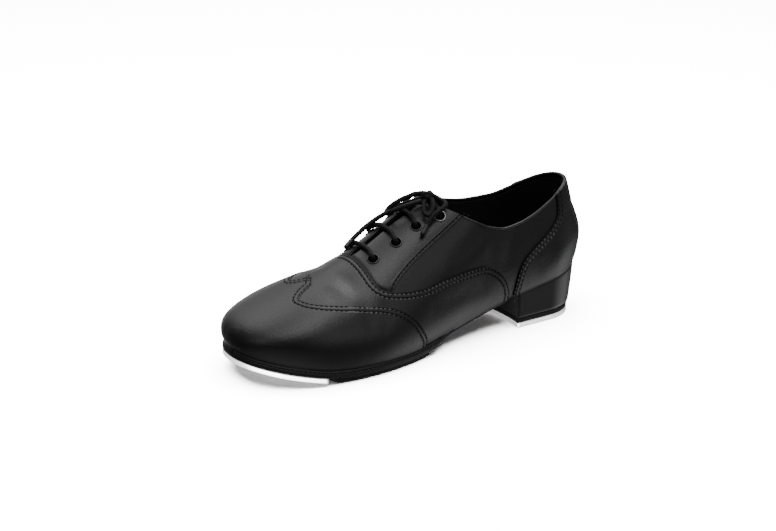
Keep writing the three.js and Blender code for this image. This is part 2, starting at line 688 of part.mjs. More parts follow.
const soleXs = stations(26, SEAT_FROM, LENGTH + SOLE_MARGIN - 0.02, [60, 70, 112, 121, 128, 150, 188]);
const soleSolid = slab(soleXs, edgeOf(1, soleOut), edgeOf(-1, soleOut), floor, (x) => floor(x) - soleThick(x), 4);
add("outsole", soleSolid, "sole");

const under = (x) => floor(x) - soleThick(x) - GAP;
const block = solid(stack([
  { ring: heelRing(0.25, 0), z: flat(HEEL_PLATE + LIFT + 2 * GAP) },
  { ring: heelRing(0.7, 0), z: (x) => mix(HEEL_PLATE + LIFT + 2 * GAP, floor(x), 0.5) },
  { ring: heelRing(1, 0), z: floor },
]));
const seatXs = [SEAT_FROM - GAP].concat(soleXs.filter((x) => x > SEAT_FROM && x < 90));
const seatRoom = solid(slab(seatXs, edgeOf(1, soleOut, GAP), edgeOf(-1, soleOut, GAP),
  (x) => floor(x) + 5, under, 4));
add("heel_block", geometryOf(mainBody(block.subtract(seatRoom))), "heel");
add("top_lift", stack([
  { ring: heelRing(0.1, -LIFT_INSET), z: flat(HEEL_PLATE + GAP) },
  { ring: heelRing(0.22, -LIFT_INSET), z: flat(HEEL_PLATE + GAP + LIFT) },
]), "rubber");
add("heel_tap", stack([{ ring: heelRing(0, 0), z: flat(0) }, { ring: heelRing(0, 0), z: flat(HEEL_PLATE) }]), "metal");

// Taps and pad under the forepart: one plate, parted by a curve across it
const plate = (xs, inset) => solid(slab(xs, edgeOf(1, soleOut, -inset), edgeOf(-1, soleOut, -inset),
  (x) => Math.max(under(x), PLATE), (x) => Math.max(under(x), PLATE) - PLATE, 4));
const split = (shift) => {
  const points = [[-60, -14], [-44, -1.6], [-22, 2.4], [0, 0], [22, 2.4], [44, -1.6], [60, -14]]
    .map(([y, x]) => new THREE.Vector2(TAP_FROM + x + shift, y));
  const rows = new THREE.SplineCurve(points).getPoints(14);
  const shape = new THREE.Shape(rows.concat([new THREE.Vector2(300, 60), new THREE.Vector2(300, -60)]));
  return solid(new THREE.ExtrudeGeometry(shape, { depth: 60, bevelEnabled: false }).translate(0, 0, -10));
};
const tapXs = stations(20, 185, LENGTH + SOLE_MARGIN - 0.02);
add("toe_tap", geometryOf(mainBody(plate(tapXs, 0).intersect(split(0)))), "metal");
const padXs = Array.from({ length: 11 }, (_, i) => mix(PAD_FROM, 208, i / 10));
add("forefoot_pad", geometryOf(mainBody(plate(padXs, PAD_INSET).subtract(split(-1)))), "rubber");

frames.forEach((row, s) => row.forEach((f, i) => add(`eyelet_${s ? "right" : "left"}_${i + 1}`, eyelet(f), "metal")));

EYELETS.forEach((_, i) => add(`lace_bar_${i + 1}`, bar(i), "lace"));
add("lace_knot", new THREE.SphereGeometry(1, 10, 7).scale(...KNOT_HALF).translate(...KNOT_AT), "lace");
add("lace_loop_front", cord(LOOP_FRONT, 20), "lace");
add("lace_loop_side", cord(LOOP_SIDE, 11), "lace");
add("lace_end_front", cord(END_FRONT, 14), "lace");
add("lace_end_side", cord(END_SIDE, 11), "lace");

export default shoe;
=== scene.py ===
"""Looks of a left tap shoe: leather panels, stitching, lace, sole and taps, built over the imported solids."""

import logging
import math
from dataclasses import dataclass, field
from enum import Enum
from typing import Callable, Sequence

import bmesh
import bpy
import numpy as np
from mathutils import Matrix, Vector
from mathutils.kdtree import KDTree


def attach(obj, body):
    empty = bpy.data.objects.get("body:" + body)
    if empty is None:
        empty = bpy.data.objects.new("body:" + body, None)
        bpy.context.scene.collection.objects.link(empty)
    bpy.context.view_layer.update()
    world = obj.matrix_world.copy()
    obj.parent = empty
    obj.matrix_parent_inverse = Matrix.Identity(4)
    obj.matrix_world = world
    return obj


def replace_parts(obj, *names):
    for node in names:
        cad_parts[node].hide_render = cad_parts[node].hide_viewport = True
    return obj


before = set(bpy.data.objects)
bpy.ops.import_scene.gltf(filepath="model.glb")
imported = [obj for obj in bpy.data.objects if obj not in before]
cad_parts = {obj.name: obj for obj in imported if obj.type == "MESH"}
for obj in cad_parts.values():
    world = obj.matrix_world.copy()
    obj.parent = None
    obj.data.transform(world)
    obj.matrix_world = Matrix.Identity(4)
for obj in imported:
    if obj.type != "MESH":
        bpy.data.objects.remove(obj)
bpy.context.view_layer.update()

LOG = logging.getLogger("tap_shoe")
MM = 0.001
OUTER, INNER = 1.0, -1.0
SIDES = (OUTER, INNER)
HALF_ROOT = math.sqrt(0.5)
Array = np.ndarray
Place = Callable[[Array, Array], Array]
Solid = Callable[[Array, Array, Array], Array]
Vec = Sequence[float]


class Measure(Enum):
    """What grows from the sole to the crown of a section."""

    HALF = "half width left to the middle"
    HEIGHT = "height over the floor"
    SLANT = "height seen from the side and half above"


def columns(names: str, rows: Sequence[Sequence[float]]) -> dict[str, Array]:
    """Turns the rows of a table into named columns.

    Args:
        names: the columns' names, apart by spaces.
        rows: the table's rows.
    Returns:
        One array for each name.
    """
    return dict(zip(names.split(), np.array(rows, float).T))


# Half widths of the last on both sides, its middle, tuck under the widest line, crown, belly and fullness
LAST = columns("x near far centre tuck_near tuck_far ridge belly full", [
    [0, 26, 28, 0.5, 3.4, 3.4, 168, 22, 2.4],
    [30, 28.6, 30, -0.5, 3.6, 3.6, 150, 21.4, 2.3],
    [65, 30.6, 29.2, -0.3, 4, 5, 127, 21.7, 2.15],
    [100, 33.5, 29, 0, 5, 7.5, 98, 21, 2.5],
    [116, 35.6, 31, 0.3, 4.6, 6.5, 89.5, 18, 2.2],
    [135, 39.2, 34.5, 0.5, 3.9, 4.9, 80.8, 15.4, 1.9],
    [170, 44.4, 40.7, 0.9, 2.8, 2.8, 62.4, 12, 1.74],
    [200, 43.9, 43.4, 0.3, 2.4, 2.4, 52.5, 12, 1.97],
    [225, 41.6, 42.3, -0.4, 2.6, 2.6, 46, 10.5, 2.19],
    [250, 37.8, 38.8, -0.7, 2.5, 2.5, 42.6, 8.4, 2.3],
])
# Top of the sole
FLOOR = columns("x z", [
    [0, 32.5], [30, 27.4], [65, 21.9], [100, 14.3], [125, 10.2],
    [150, 8.1], [188, 8.1], [203, 9], [225, 12.9], [250, 18.6],
])
# Height of the collar on both sides
COLLAR = columns("x near far", [
    [0, 88.6, 88.6], [10, 87.4, 84.4], [20, 84.8, 80.2], [32, 79.8, 76.6], [45, 74.5, 74.5],
    [58, 71, 74.7], [70, 69.9, 75.5], [82, 72.6, 78], [95, 78.8, 81.5], [108, 86, 85.5], [120, 91, 90],
])
# Half of the opening between the facings
THROAT = columns("x half", [
    [100, 9], [112, 7.5], [120, 5.5], [131, 3], [146, 2.2], [160, 2], [166, 1.5], [169, 0],
])
# Sole: how far it stands out from the feather edge, and how thick it is
SOLE = columns("x out thick", [
    [0, -3.5, 2], [60, -3.5, 2], [70, -1, 2.2], [112, -0.8, 2.8], [121, 0.4, 4.2],
    [128, 1.8, 4.8], [252, 1.8, 4.8],
])
# Panel edges seen from the side and half above: x, and the height across that view
CAP_EDGE = columns("t x", [
    [-34, 137], [-19.1, 136.8], [-14, 142], [-8.5, 148], [-3.4, 156.2], [1.4, 165.8], [5.7, 180],
    [9.6, 193.5], [14.7, 205.8], [19.6, 211.5], [23.5, 213], [28, 208.2], [32.6, 199.8], [38, 196],
])
# The same edge on the inner side, whose tip reaches less far
CAP_EDGE_INNER = columns("t x", [
    [-34, 137], [-19.1, 136.8], [-14, 142], [-8.5, 148], [-3.4, 155], [1.4, 161.5], [5.7, 168],
    [9.6, 175], [14, 182.5], [18, 189.5], [21.5, 196.5], [25, 202], [28.5, 204.6], [31.5, 203], [35, 199],
    [38, 196],
])
VAMP_TOP = columns("x t", [
    [67.2, -1.4], [71.5, 4], [76, 7.4], [80.2, 9.6], [85, 11.2], [90, 11.9], [101.5, 11.1],
    [121.5, 8.9], [138.8, 6.6], [148.8, 7], [157.8, 8.7],
])
VAMP_FRONT = columns("t x", [
    [8.7, 157.8], [11.1, 163.8], [15.9, 167.8], [22.4, 169], [30.6, 169.2], [50, 169.4],
])
FACING_EDGE = columns("x t", [
    [98, 43], [102, 40.9], [118, 33.6], [130, 28.2], [142.5, 21.9], [151, 16.7], [157, 11.9], [161, 6],
])
COUNTER_EDGE = columns("t x", [
    [-30, 63], [-2, 62.6], [3.7, 61.5], [10.6, 57.5], [16.4, 49], [20.2, 42], [25, 33.8],
    [33.3, 26.4], [41, 25.5], [46, 26.5], [60, 27.5],
])
# Creases, and swells where the depth is below zero: places on the same view, depth, width
FOLDS = (
    ([(181, -6), (179, 8), (181, 22), (184, 33)], 0.45, 4.5),
    ([(172, -10), (168, -2), (165, 4)], 0.3, 3.5),
    ([(189, 2), (189, 14), (192, 26)], -0.3, 4.0),
    ([(110, 18), (97, 25), (84, 36)], 0.55, 6.5),
    ([(120, 14), (104, 17), (90, 22)], -0.4, 6.0),
    ([(60, 30), (66, 22), (69, 14)], 0.4, 5.0),
    ([(92, 2), (110, 0), (130, -3)], 0.4, 6.0),
    ([(36, 6), (22, 14), (10, 24)], -0.4, 7.0),
)
# Line between the pad and the toe tap
SPLIT = columns("y x", [[-60, -14], [-44, -1.6], [-22, 2.4], [0, 0], [22, 2.4], [44, -1.6], [60, -14]])
# Eyelets, from the throat to the collar: station and half width
EYELETS = ((161.2, 13.7), (145.0, 14.5), (130.2, 14.5), (115.0, 18.3))
# Profile of an eyelet: distance from its axis, and height
RING = (
    (2.9, -2.9), (2.9, 0.15), (3.0, 0.42), (3.22, 0.6), (3.5, 0.6), (3.78, 0.42), (3.9, 0.1),
    (3.25, 0.05), (3.25, -2.9), (2.9, -2.9),
)
# Routes of the bow's loops and ends
CORDS = {
    "loop_front": (
        (117, 7.5, 95.4), (120, 4.3, 95.0), (125.5, 0.4, 93.0), (131.2, -2.6, 90.2), (135.7, -4.3, 87.2),
        (139.0, -4.3, 84.5), (140.9, -0.7, 84.4), (139.9, 4.0, 87.0), (134.3, 6.8, 89.4),
        (127.8, 8.2, 90.8), (121.9, 9.4, 91.8)),
    "loop_side": (
        (117, 10.8, 94.7), (117.9, 14.9, 91.7), (119.8, 17.7, 88.3), (123.2, 18.8, 85.0),
        (124.6, 16.1, 86.0), (123.0, 12.7, 89.5), (120.1, 10.0, 92.4)),
    "end_front": (
        (117.6, 5.3, 91.7), (122.7, 0.7, 89.6), (127.8, -2.8, 87.4), (132.8, -5.3, 84.9), (138.2, -7.8, 81.7),
        (144.5, -8.9, 78.6), (151, -9.1, 75.4), (157.3, -8.3, 72.1), (163.3, -6.9, 68.9), (169.1, -5.2, 65.5)),
    "end_side": (
        (115.1, 9.2, 94.6), (113.1, 12.7, 93.1), (111.6, 16.5, 91.9), (111.6, 19.8, 90.5), (114.7, 20.9, 88.5),
        (119.2, 20.4, 86.1), (123.7, 20.5, 82.8), (127.4, 21.6, 78.8), (131.5, 23.1, 74.5)),
}
# Soft patches of light: direction, strength and narrowness
SKY = (
    ((-0.79, 0.2, -0.57), 2.2, 22.0), ((-0.57, -0.24, 0.79), 6.2, 24.0), ((0.29, 0.35, -0.89), 0.6, 4.0),
    ((0.05, 0.31, 0.95), 4.0, 24.0), ((-0.7, 0.71, 0.03), 0.15, 9.0), ((0.03, -0.72, 0.7), 2.3, 24.0),
    ((0.82, 0.15, 0.55), 1.6, 24.0), ((-0.3, 0.86, 0.4), 1.6, 26.0), ((-0.42, -0.88, -0.2), 1.6, 10.0),
)


class Natural:
    """Smooth curve through two columns of a table."""

    def __init__(self, x: Array, y: Array) -> None:
        """Solves for the curve's second slopes."""
        count = len(x)
        step = np.diff(x)
        slope = np.diff(y) / step
        system = np.eye(count)
        right = np.zeros(count)
        for i in range(1, count - 1):
            system[i, i - 1:i + 2] = step[i - 1], 2 * (step[i - 1] + step[i]), step[i]
            right[i] = 6 * (slope[i] - slope[i - 1])
        self.x, self.y, self.second = x, y, np.linalg.solve(system, right)

    def __call__(self, at: Array) -> Array:
        """Value of the curve."""
        k = np.clip(np.searchsorted(self.x, at, side="right") - 1, 0, len(self.x) - 2)
        step = self.x[k + 1] - self.x[k]
        a = (self.x[k + 1] - at) / step
        b = 1 - a
        bend = (a ** 3 - a) * self.second[k] + (b ** 3 - b) * self.second[k + 1]
        return a * self.y[k] + b * self.y[k + 1] + bend * step * step / 6


class Level:
    """Curve through two columns that never overshoots and stays level past its ends."""

    def __init__(self, x: Array, y: Array) -> None:
        """Works out the slope at each row."""
        step = np.diff(x)
        slope = np.diff(y) / step
        tangent = np.concatenate([slope[:1], np.zeros(len(x) - 2), slope[-1:]])
        for i in range(1, len(x) - 1):
            if slope[i - 1] * slope[i] > 0:
                a, b = 2 * step[i] + step[i - 1], step[i] + 2 * step[i - 1]
                tangent[i] = (a + b) / (a / slope[i - 1] + b / slope[i])
        self.x, self.y, self.tangent = x, y, tangent

    def __call__(self, at: Array) -> Array:
        """Value of the curve."""
        v = np.clip(at, self.x[0], self.x[-1])
        k = np.clip(np.searchsorted(self.x, v, side="right") - 1, 0, len(self.x) - 2)
        step = self.x[k + 1] - self.x[k]
        t = (v - self.x[k]) / step
        bow = t * (1 - t) ** 2 * self.tangent[k] - t * t * (1 - t) * self.tangent[k + 1]
        return self.y[k] + (self.y[k + 1] - self.y[k]) * t * t * (3 - 2 * t) + step * bow


def solve(low: Array, high: Array, reached: Callable[[Array], Array], rounds: int = 26) -> Array:
    """Halves an interval until it holds the first value that reaches a goal.

    Args:
        low: values that fall short of the goal.
        high: values past the goal.
        reached: says which values have reached it.
        rounds: how often the interval is halved.
    Returns:
        The values at the goal.
    """
    for _ in range(rounds):
        middle = (low + high) / 2
        done = reached(middle)
        low, high = np.where(done, low, middle), np.where(done, middle, high)
    return high


def unit(rows: Array) -> Array:
    """Rows of vectors at length one."""
    return rows / np.maximum(np.linalg.norm(rows, axis=-1, keepdims=True), 1e-9)


def run_along(points: Array) -> Array:
    """Length of a line up to each of its points."""
    return np.concatenate([[0], np.linalg.norm(np.diff(points, axis=0), axis=1).cumsum()])


def evenly(points: Array, pitch: float) -> Array:
    """Indexes of a line's points a pitch apart, half a pitch from both ends."""
    run = run_along(points)
    count = max(1, int(run[-1] / pitch))
    goals = (np.arange(count) + 0.5) * run[-1] / count
    return np.searchsorted(run, goals).clip(0, len(run) - 2)


def halves(share: Array) -> tuple[Array, Array]:
    """Side and distance from the middle, for a share that runs from the outer side to the inner one."""
    q = 2 * share - 1
    return np.where(q < 0, OUTER, INNER), np.abs(q)


def slant(point: Array, side: Array) -> Array:
    """Height of points seen from the side and half above."""
    return (point[..., 2] - side * point[..., 1]) * HALF_ROOT


def eased(share: Array) -> Array:
    """Share whose steps are small near both ends."""
    return (1 - np.cos(share * math.pi)) / 2


def lip(gone: Array, width: float, depth: float) -> Array:
    """Depth of a panel's edge, which turns down to meet the leather under it.

    Args:
        gone: distances from the edge.
        width: how wide the turned part is.
        depth: its depth at the edge.
    Returns:
        Depths, zero past that width.
    """
    return np.where(gone < width, depth * (1 - gone / width) ** 2, 0)


@dataclass
class Last:
    """Form that the upper is built on, in millimetres from the heel along the floor."""

    length: float = 250.0
    heel_round: float = 30.0
    toe_round: float = 52.0
    toe_power: float = 2.45
    toe_wall: float = 10.0
    toe_bulge: float = 2.2
    heel_bulge: float = 4.0
    heel_mid: float = 20.0
    heel_lean: float = 2.8
    clasp: float = 0.1
    feather: float = math.radians(35)
    softness: float = 0.02
    low_part: float = 0.25
    toe_drop: float = 2.6
    belly_share: float = 0.45
    clasp_from: float = 90.0
    swing_from: float = 45.0
    origin: tuple[float, float] = (124.416, 1.221)

    def __post_init__(self) -> None:
        """Draws the curves through the tables."""
        self.curves = {key: Natural(LAST["x"], LAST[key]) for key in LAST if key != "x"}
        self.floor = Level(FLOOR["x"], FLOOR["z"])
        self.collar = {key: Level(COLLAR["x"], COLLAR[key]) for key in ("near", "far")}
        self.throat = Level(THROAT["x"], THROAT["half"])
        stations = eased(np.linspace(0, 1, 1601)) * self.length
        outline = self.curves["near"](stations) * self.ends(stations)
        run = np.hypot(np.diff(stations), np.diff(outline)).cumsum()
        self.outline = stations, np.concatenate([[0], run])

    def toe_share(self, x: Array) -> Array:
        """How far a station is into the rounded toe, up to 1 at the tip."""
        return np.clip((x - self.length + self.toe_round) / self.toe_round, 0, 1)

    def by_side(self, side: Array, x: Array, near: str, far: str) -> Array:
        """Value of the outer side's curve or of the inner side's."""
        return np.where(side > 0, self.curves[near](x), self.curves[far](x))

    def ends(self, x: Array) -> Array:
        """Rounding of both ends in plan, from 0 at a tip to 1."""
        heel = np.clip((self.heel_round - x) / self.heel_round, 0, 1)
        toe = self.toe_share(x)
        return np.sqrt(1 - heel * heel) * (1 - toe ** self.toe_power) ** (1 / self.toe_power)

    def ridge(self, x: Array) -> Array:
        """Height of the crown."""
        tip = self.floor(x) + self.toe_wall
        return tip + (self.curves["ridge"](x) - tip) * np.sqrt(1 - self.toe_share(x) ** self.toe_drop)

    def swell(self, c: Array, power: Array) -> Array:
        """Rounding of a section's upper part."""
        return c * ((c * c + self.softness) / (1 + self.softness)) ** (1 / power - 0.5)

    def point(self, x: Array, side: Array, h: Array) -> Array:
        """Points of the surface.

        Args:
            x: station.
            side: 1 on the outer side, -1 on the inner side.
            h: 0 at the feather edge, 1 at the crown.
        Returns:
            One row of three coordinates for each point.
        """
        x, side, h = (np.asarray(v, float) for v in np.broadcast_arrays(x, side, h))
        end = self.ends(x)
        wide = self.by_side(side, x, "near", "far") * end
        tuck = self.by_side(side, x, "tuck_near", "tuck_far") * end
        low, top, full = self.floor(x), self.ridge(x), self.curves["full"](x)
        rise = np.minimum(self.curves["belly"](x), self.belly_share * (top - low))
        a = self.feather + np.clip(h / self.low_part, 0, 1) * (math.pi / 2 - self.feather)
        b = np.clip((h - self.low_part) / (1 - self.low_part), 0, 1) * math.pi / 2
        lower = h < self.low_part
        under = wide - tuck * (1 - np.sin(a)) / (1 - math.sin(self.feather))
        w = np.where(lower, under, wide * self.swell(np.abs(np.cos(b)), full))
        z = np.where(lower, low + rise * (1 - np.cos(a) / math.cos(self.feather)),
                     low + rise + (top - low - rise) * self.swell(np.sin(b), full))
        q = z - low
        over = np.clip(q / self.heel_mid - 1, 0, 3) ** 1.5
        w = w * (1 - self.clasp * over * np.clip((self.clasp_from - x) / self.clasp_from, 0, 1))
        back = np.clip((self.swing_from - x) / self.swing_from, 0, 1) ** 2
        swing = np.sin(np.clip(q / self.heel_mid, 0, 2) * math.pi / 2)
        nose = self.toe_share(x) ** 2 * self.toe_bulge * np.sin(np.clip(q / (top - low), 0, 1) * math.pi)
        along = x - back * (self.heel_bulge * swing - self.heel_lean * over) + nose
        return np.stack([along, self.curves["centre"](x) + side * w, z], -1)

    def measure(self, kind: Measure, x: Array, side: Array, h: Array) -> Array:
        """How far up a section a point is.

        Args:
            kind: the measure.
            x: station.
            side: outer or inner side.
            h: from the feather edge to the crown.
        Returns:
            The measure's values.
        """
        p = self.point(x, side, h)
        if kind is Measure.HALF:
            return -np.abs(p[..., 1] - self.curves["centre"](x))
        if kind is Measure.HEIGHT:
            return p[..., 2]
        return slant(p, side)

    def reach(self, kind: Measure, x: Array, side: Array, goal: Array) -> Array:
        """Height of a section's point that reaches a measure.

        Args:
            kind: the measure.
            x: station.
            side: outer or inner side.
            goal: the measure's value.
        Returns:
            Heights from 0 at the feather edge to 1 at the crown.
        """
        x, side, goal = (np.asarray(v, float) for v in np.broadcast_arrays(x, side, goal))
        start = 0.0 if kind is Measure.SLANT else self.low_part
        low = np.full(x.shape, start)
        return solve(low, np.ones(x.shape), lambda h: self.measure(kind, x, side, h) >= goal)

    def top(self, x: Array, side: Array) -> Array:
        """Top edge of the upper: collar, then the facing's edge, then the closed crown.

        Args:
            x: station.
            side: outer or inner side.
        Returns:
            Heights from 0 at the feather edge to 1 at the crown.
        """
        x, side = (np.asarray(v, float) for v in np.broadcast_arrays(x, side))
        height = np.where(side > 0, self.collar["near"](x), self.collar["far"](x))
        collar = np.where(x < COLLAR["x"][-1], self.reach(Measure.HEIGHT, x, side, height), 1.0)
        facing = self.reach(Measure.HALF, x, side, -self.throat(x))
        edge = np.where(x < THROAT["x"][0], collar, np.minimum(collar, facing))
        return np.where(x >= THROAT["x"][-1], 1.0, edge)

    def normal(self, x: Array, side: Array, h: Array) -> Array:
        """Outward directions of the surface.

        Args:
            x: station.
            side: outer or inner side.
            h: from the feather edge to the crown.
        Returns:
            One direction for each point.
        """
        near_x, near_h = 0.4, 0.004
        along = self.point(np.minimum(x + near_x, self.length), side, h) - self.point(x - near_x, side, h)
        up = self.point(x, side, np.minimum(h + near_h, 1)) - self.point(x, side, np.maximum(h - near_h, 0))
        return unit(np.cross(up, along) * np.asarray(side, float)[..., None])

    def spread(self, first: Array, last: Array, share: Array) -> Array:
        """Stations between two others, evenly apart round the plan's outline.

        Args:
            first: station at a share of 0.
            last: station at a share of 1.
            share: the shares.
        Returns:
            The stations.
        """
        x, run = self.outline
        a, b = np.interp(first, x, run), np.interp(last, x, run)
        return np.interp(a + (b - a) * share, run, x)

    def feather_edge(self, side: float, x: Array, grow: Array) -> Array:
        """Feather edge of one side, moved outwards in plan.

        Args:
            side: outer or inner side.
            x: station.
            grow: how far it is moved.
        Returns:
            The edge's second coordinate.
        """
        scale = (self.length + 2 * grow) / self.length
        at = np.clip(self.length / 2 + (x - self.length / 2) / scale, 0, self.length)
        key = "near" if side > 0 else "far"
        half = (self.curves[key](at) - self.curves[f"tuck_{key}"](at) + grow) * self.ends(at)
        return self.curves["centre"](at) + side * np.maximum(0, half)


class Seam:
    """Line on the last, with its directions along, out of and across the leather."""

    def __init__(self, last: Last, x: Array, side: Array, h: Array) -> None:
        """Keeps the places that differ, in order, and works out their directions.

        Args:
            last: the last.
            x: stations.
            side: outer or inner side.
            h: heights from the feather edge to the crown.
        """
        least = 0.02
        x, side, h = (np.array(v, float) for v in np.broadcast_arrays(x, side, h))
        step = np.linalg.norm(np.diff(last.point(x, side, h), axis=0), axis=1)
        keep = np.concatenate([[True], step > least])
        self.last, self.x, self.side, self.h = last, x[keep], side[keep], h[keep]
        self.point = last.point(self.x, self.side, self.h)
        self.normal = last.normal(self.x, self.side, self.h)
        self.tangent = unit(np.gradient(self.point, axis=0))
        self.inward = unit(np.cross(self.normal, self.tangent))

    def beside(self, distance: float) -> "Seam":
        """The line at a distance from this one, on the surface."""
        goal = self.point + self.inward * distance
        x = self.x + goal[:, 0] - self.point[:, 0]
        side = self.side
        for _ in range(3):
            side = np.where(goal[:, 1] > self.last.curves["centre"](x), OUTER, INNER)
            h = self.last.reach(Measure.SLANT, x, side, slant(goal, side))
            x = x + goal[:, 0] - self.last.point(x, side, h)[:, 0]
        return Seam(self.last, x, side, h)

    def tree(self) -> KDTree:
        """Search tree of the line's points."""
        tree = KDTree(len(self.point))
        for i, p in enumerate(self.point):
            tree.insert(p, i)
        tree.balance()
        return tree


def smooth_line(points: Array, step: float = 0.5) -> Array:
    """Evenly spaced points of a smooth line through others.

    Args:
        points: the points that it goes through.
        step: rough distance between the new ones.
    Returns:
        The new points.
    """
    p = np.concatenate([[2 * points[0] - points[1]], points, [2 * points[-1] - points[-2]]])
    gaps = np.linalg.norm(np.diff(p, axis=0), axis=1) ** 0.5
    fine = []
    for i in range(1, len(p) - 2):
        t0, t1, t2, t3 = np.concatenate([[0], gaps[i - 1:i + 2].cumsum()])
        t = np.linspace(t1, t2, 24, endpoint=False)[:, None]
        a1 = (t1 - t) / (t1 - t0) * p[i - 1] + (t - t0) / (t1 - t0) * p[i]
        a2 = (t2 - t) / (t2 - t1) * p[i] + (t - t1) / (t2 - t1) * p[i + 1]
        a3 = (t3 - t) / (t3 - t2) * p[i + 1] + (t - t2) / (t3 - t2) * p[i + 2]
        b1 = (t2 - t) / (t2 - t0) * a1 + (t - t0) / (t2 - t0) * a2
        b2 = (t3 - t) / (t3 - t1) * a2 + (t - t1) / (t3 - t1) * a3
        fine.append((t2 - t) / (t2 - t1) * b1 + (t - t1) / (t2 - t1) * b2)
    fine = np.concatenate(fine + [points[-1:]])
    run = run_along(fine)
    goals = np.linspace(0, run[-1], max(6, round(run[-1] / step)) + 1)
    return np.stack([np.interp(goals, run, fine[:, k]) for k in range(3)], -1)


def add_tube(sheet: "Sheet", line: Array, across: float, sides: int = 14) -> None:
    """Adds a round cord with rounded ends and a map for its pattern.

    Args:
        sheet: where it goes.
        line: its middle, as evenly spaced points.
        across: its diameter.
        sides: steps round it.
    """
    tangent = unit(np.gradient(line, axis=0))
    first = np.cross(tangent[0], (0.3, 0.2, 1.0))
    frames = [first / np.linalg.norm(first)]
    for t in tangent[1:]:
        moved = frames[-1] - t * float(np.dot(frames[-1], t))
        frames.append(moved / np.linalg.norm(moved))
    aside = np.array(frames)
    above = np.cross(tangent, aside)
    run = run_along(line)
    radius = across / 2
    rounding = radius * 0.7
    end = np.clip(np.minimum(run, run[-1] - run) / rounding, 0, 1)
    thick = radius * np.sqrt(1 - (1 - end) ** 2)
    layer = sheet.mesh.loops.layers.uv.verify()
    before = set(sheet.mesh.faces)

    def place(u: Array, v: Array) -> Array:
        """Point of the cord's surface."""
        i = np.rint(u * (len(line) - 1)).astype(int)
        turn = v[:, None] * 2 * math.pi
        out = np.cos(turn) * aside[i] + np.sin(turn) * above[i]
        return line[i] + out * thick[i, None]

    sheet.lay(len(line) - 1, sides, place)
    for face in set(sheet.mesh.faces) - before:
        for loop in face.loops:
            loop[layer].uv.x *= run[-1] / across


def eyelet_frames(last: Last) -> list[list[tuple[Array, Array]]]:
    """Middle and direction of each eyelet, in pairs of outer and inner, from the throat to the collar."""
    depth = 0.1
    pairs = []
    for x, half in EYELETS:
        pair = []
        for side in SIDES:
            h = last.reach(Measure.HALF, x, side, -half)
            normal = last.normal(np.array(x), np.array(side), h)
            pair.append((last.point(x, side, h) - normal * depth, normal))
        pairs.append(pair)
    return pairs


@dataclass(frozen=True)
class Fold:
    """Soft trough or ridge in the leather."""

    line: Seam
    depth: float
    width: float


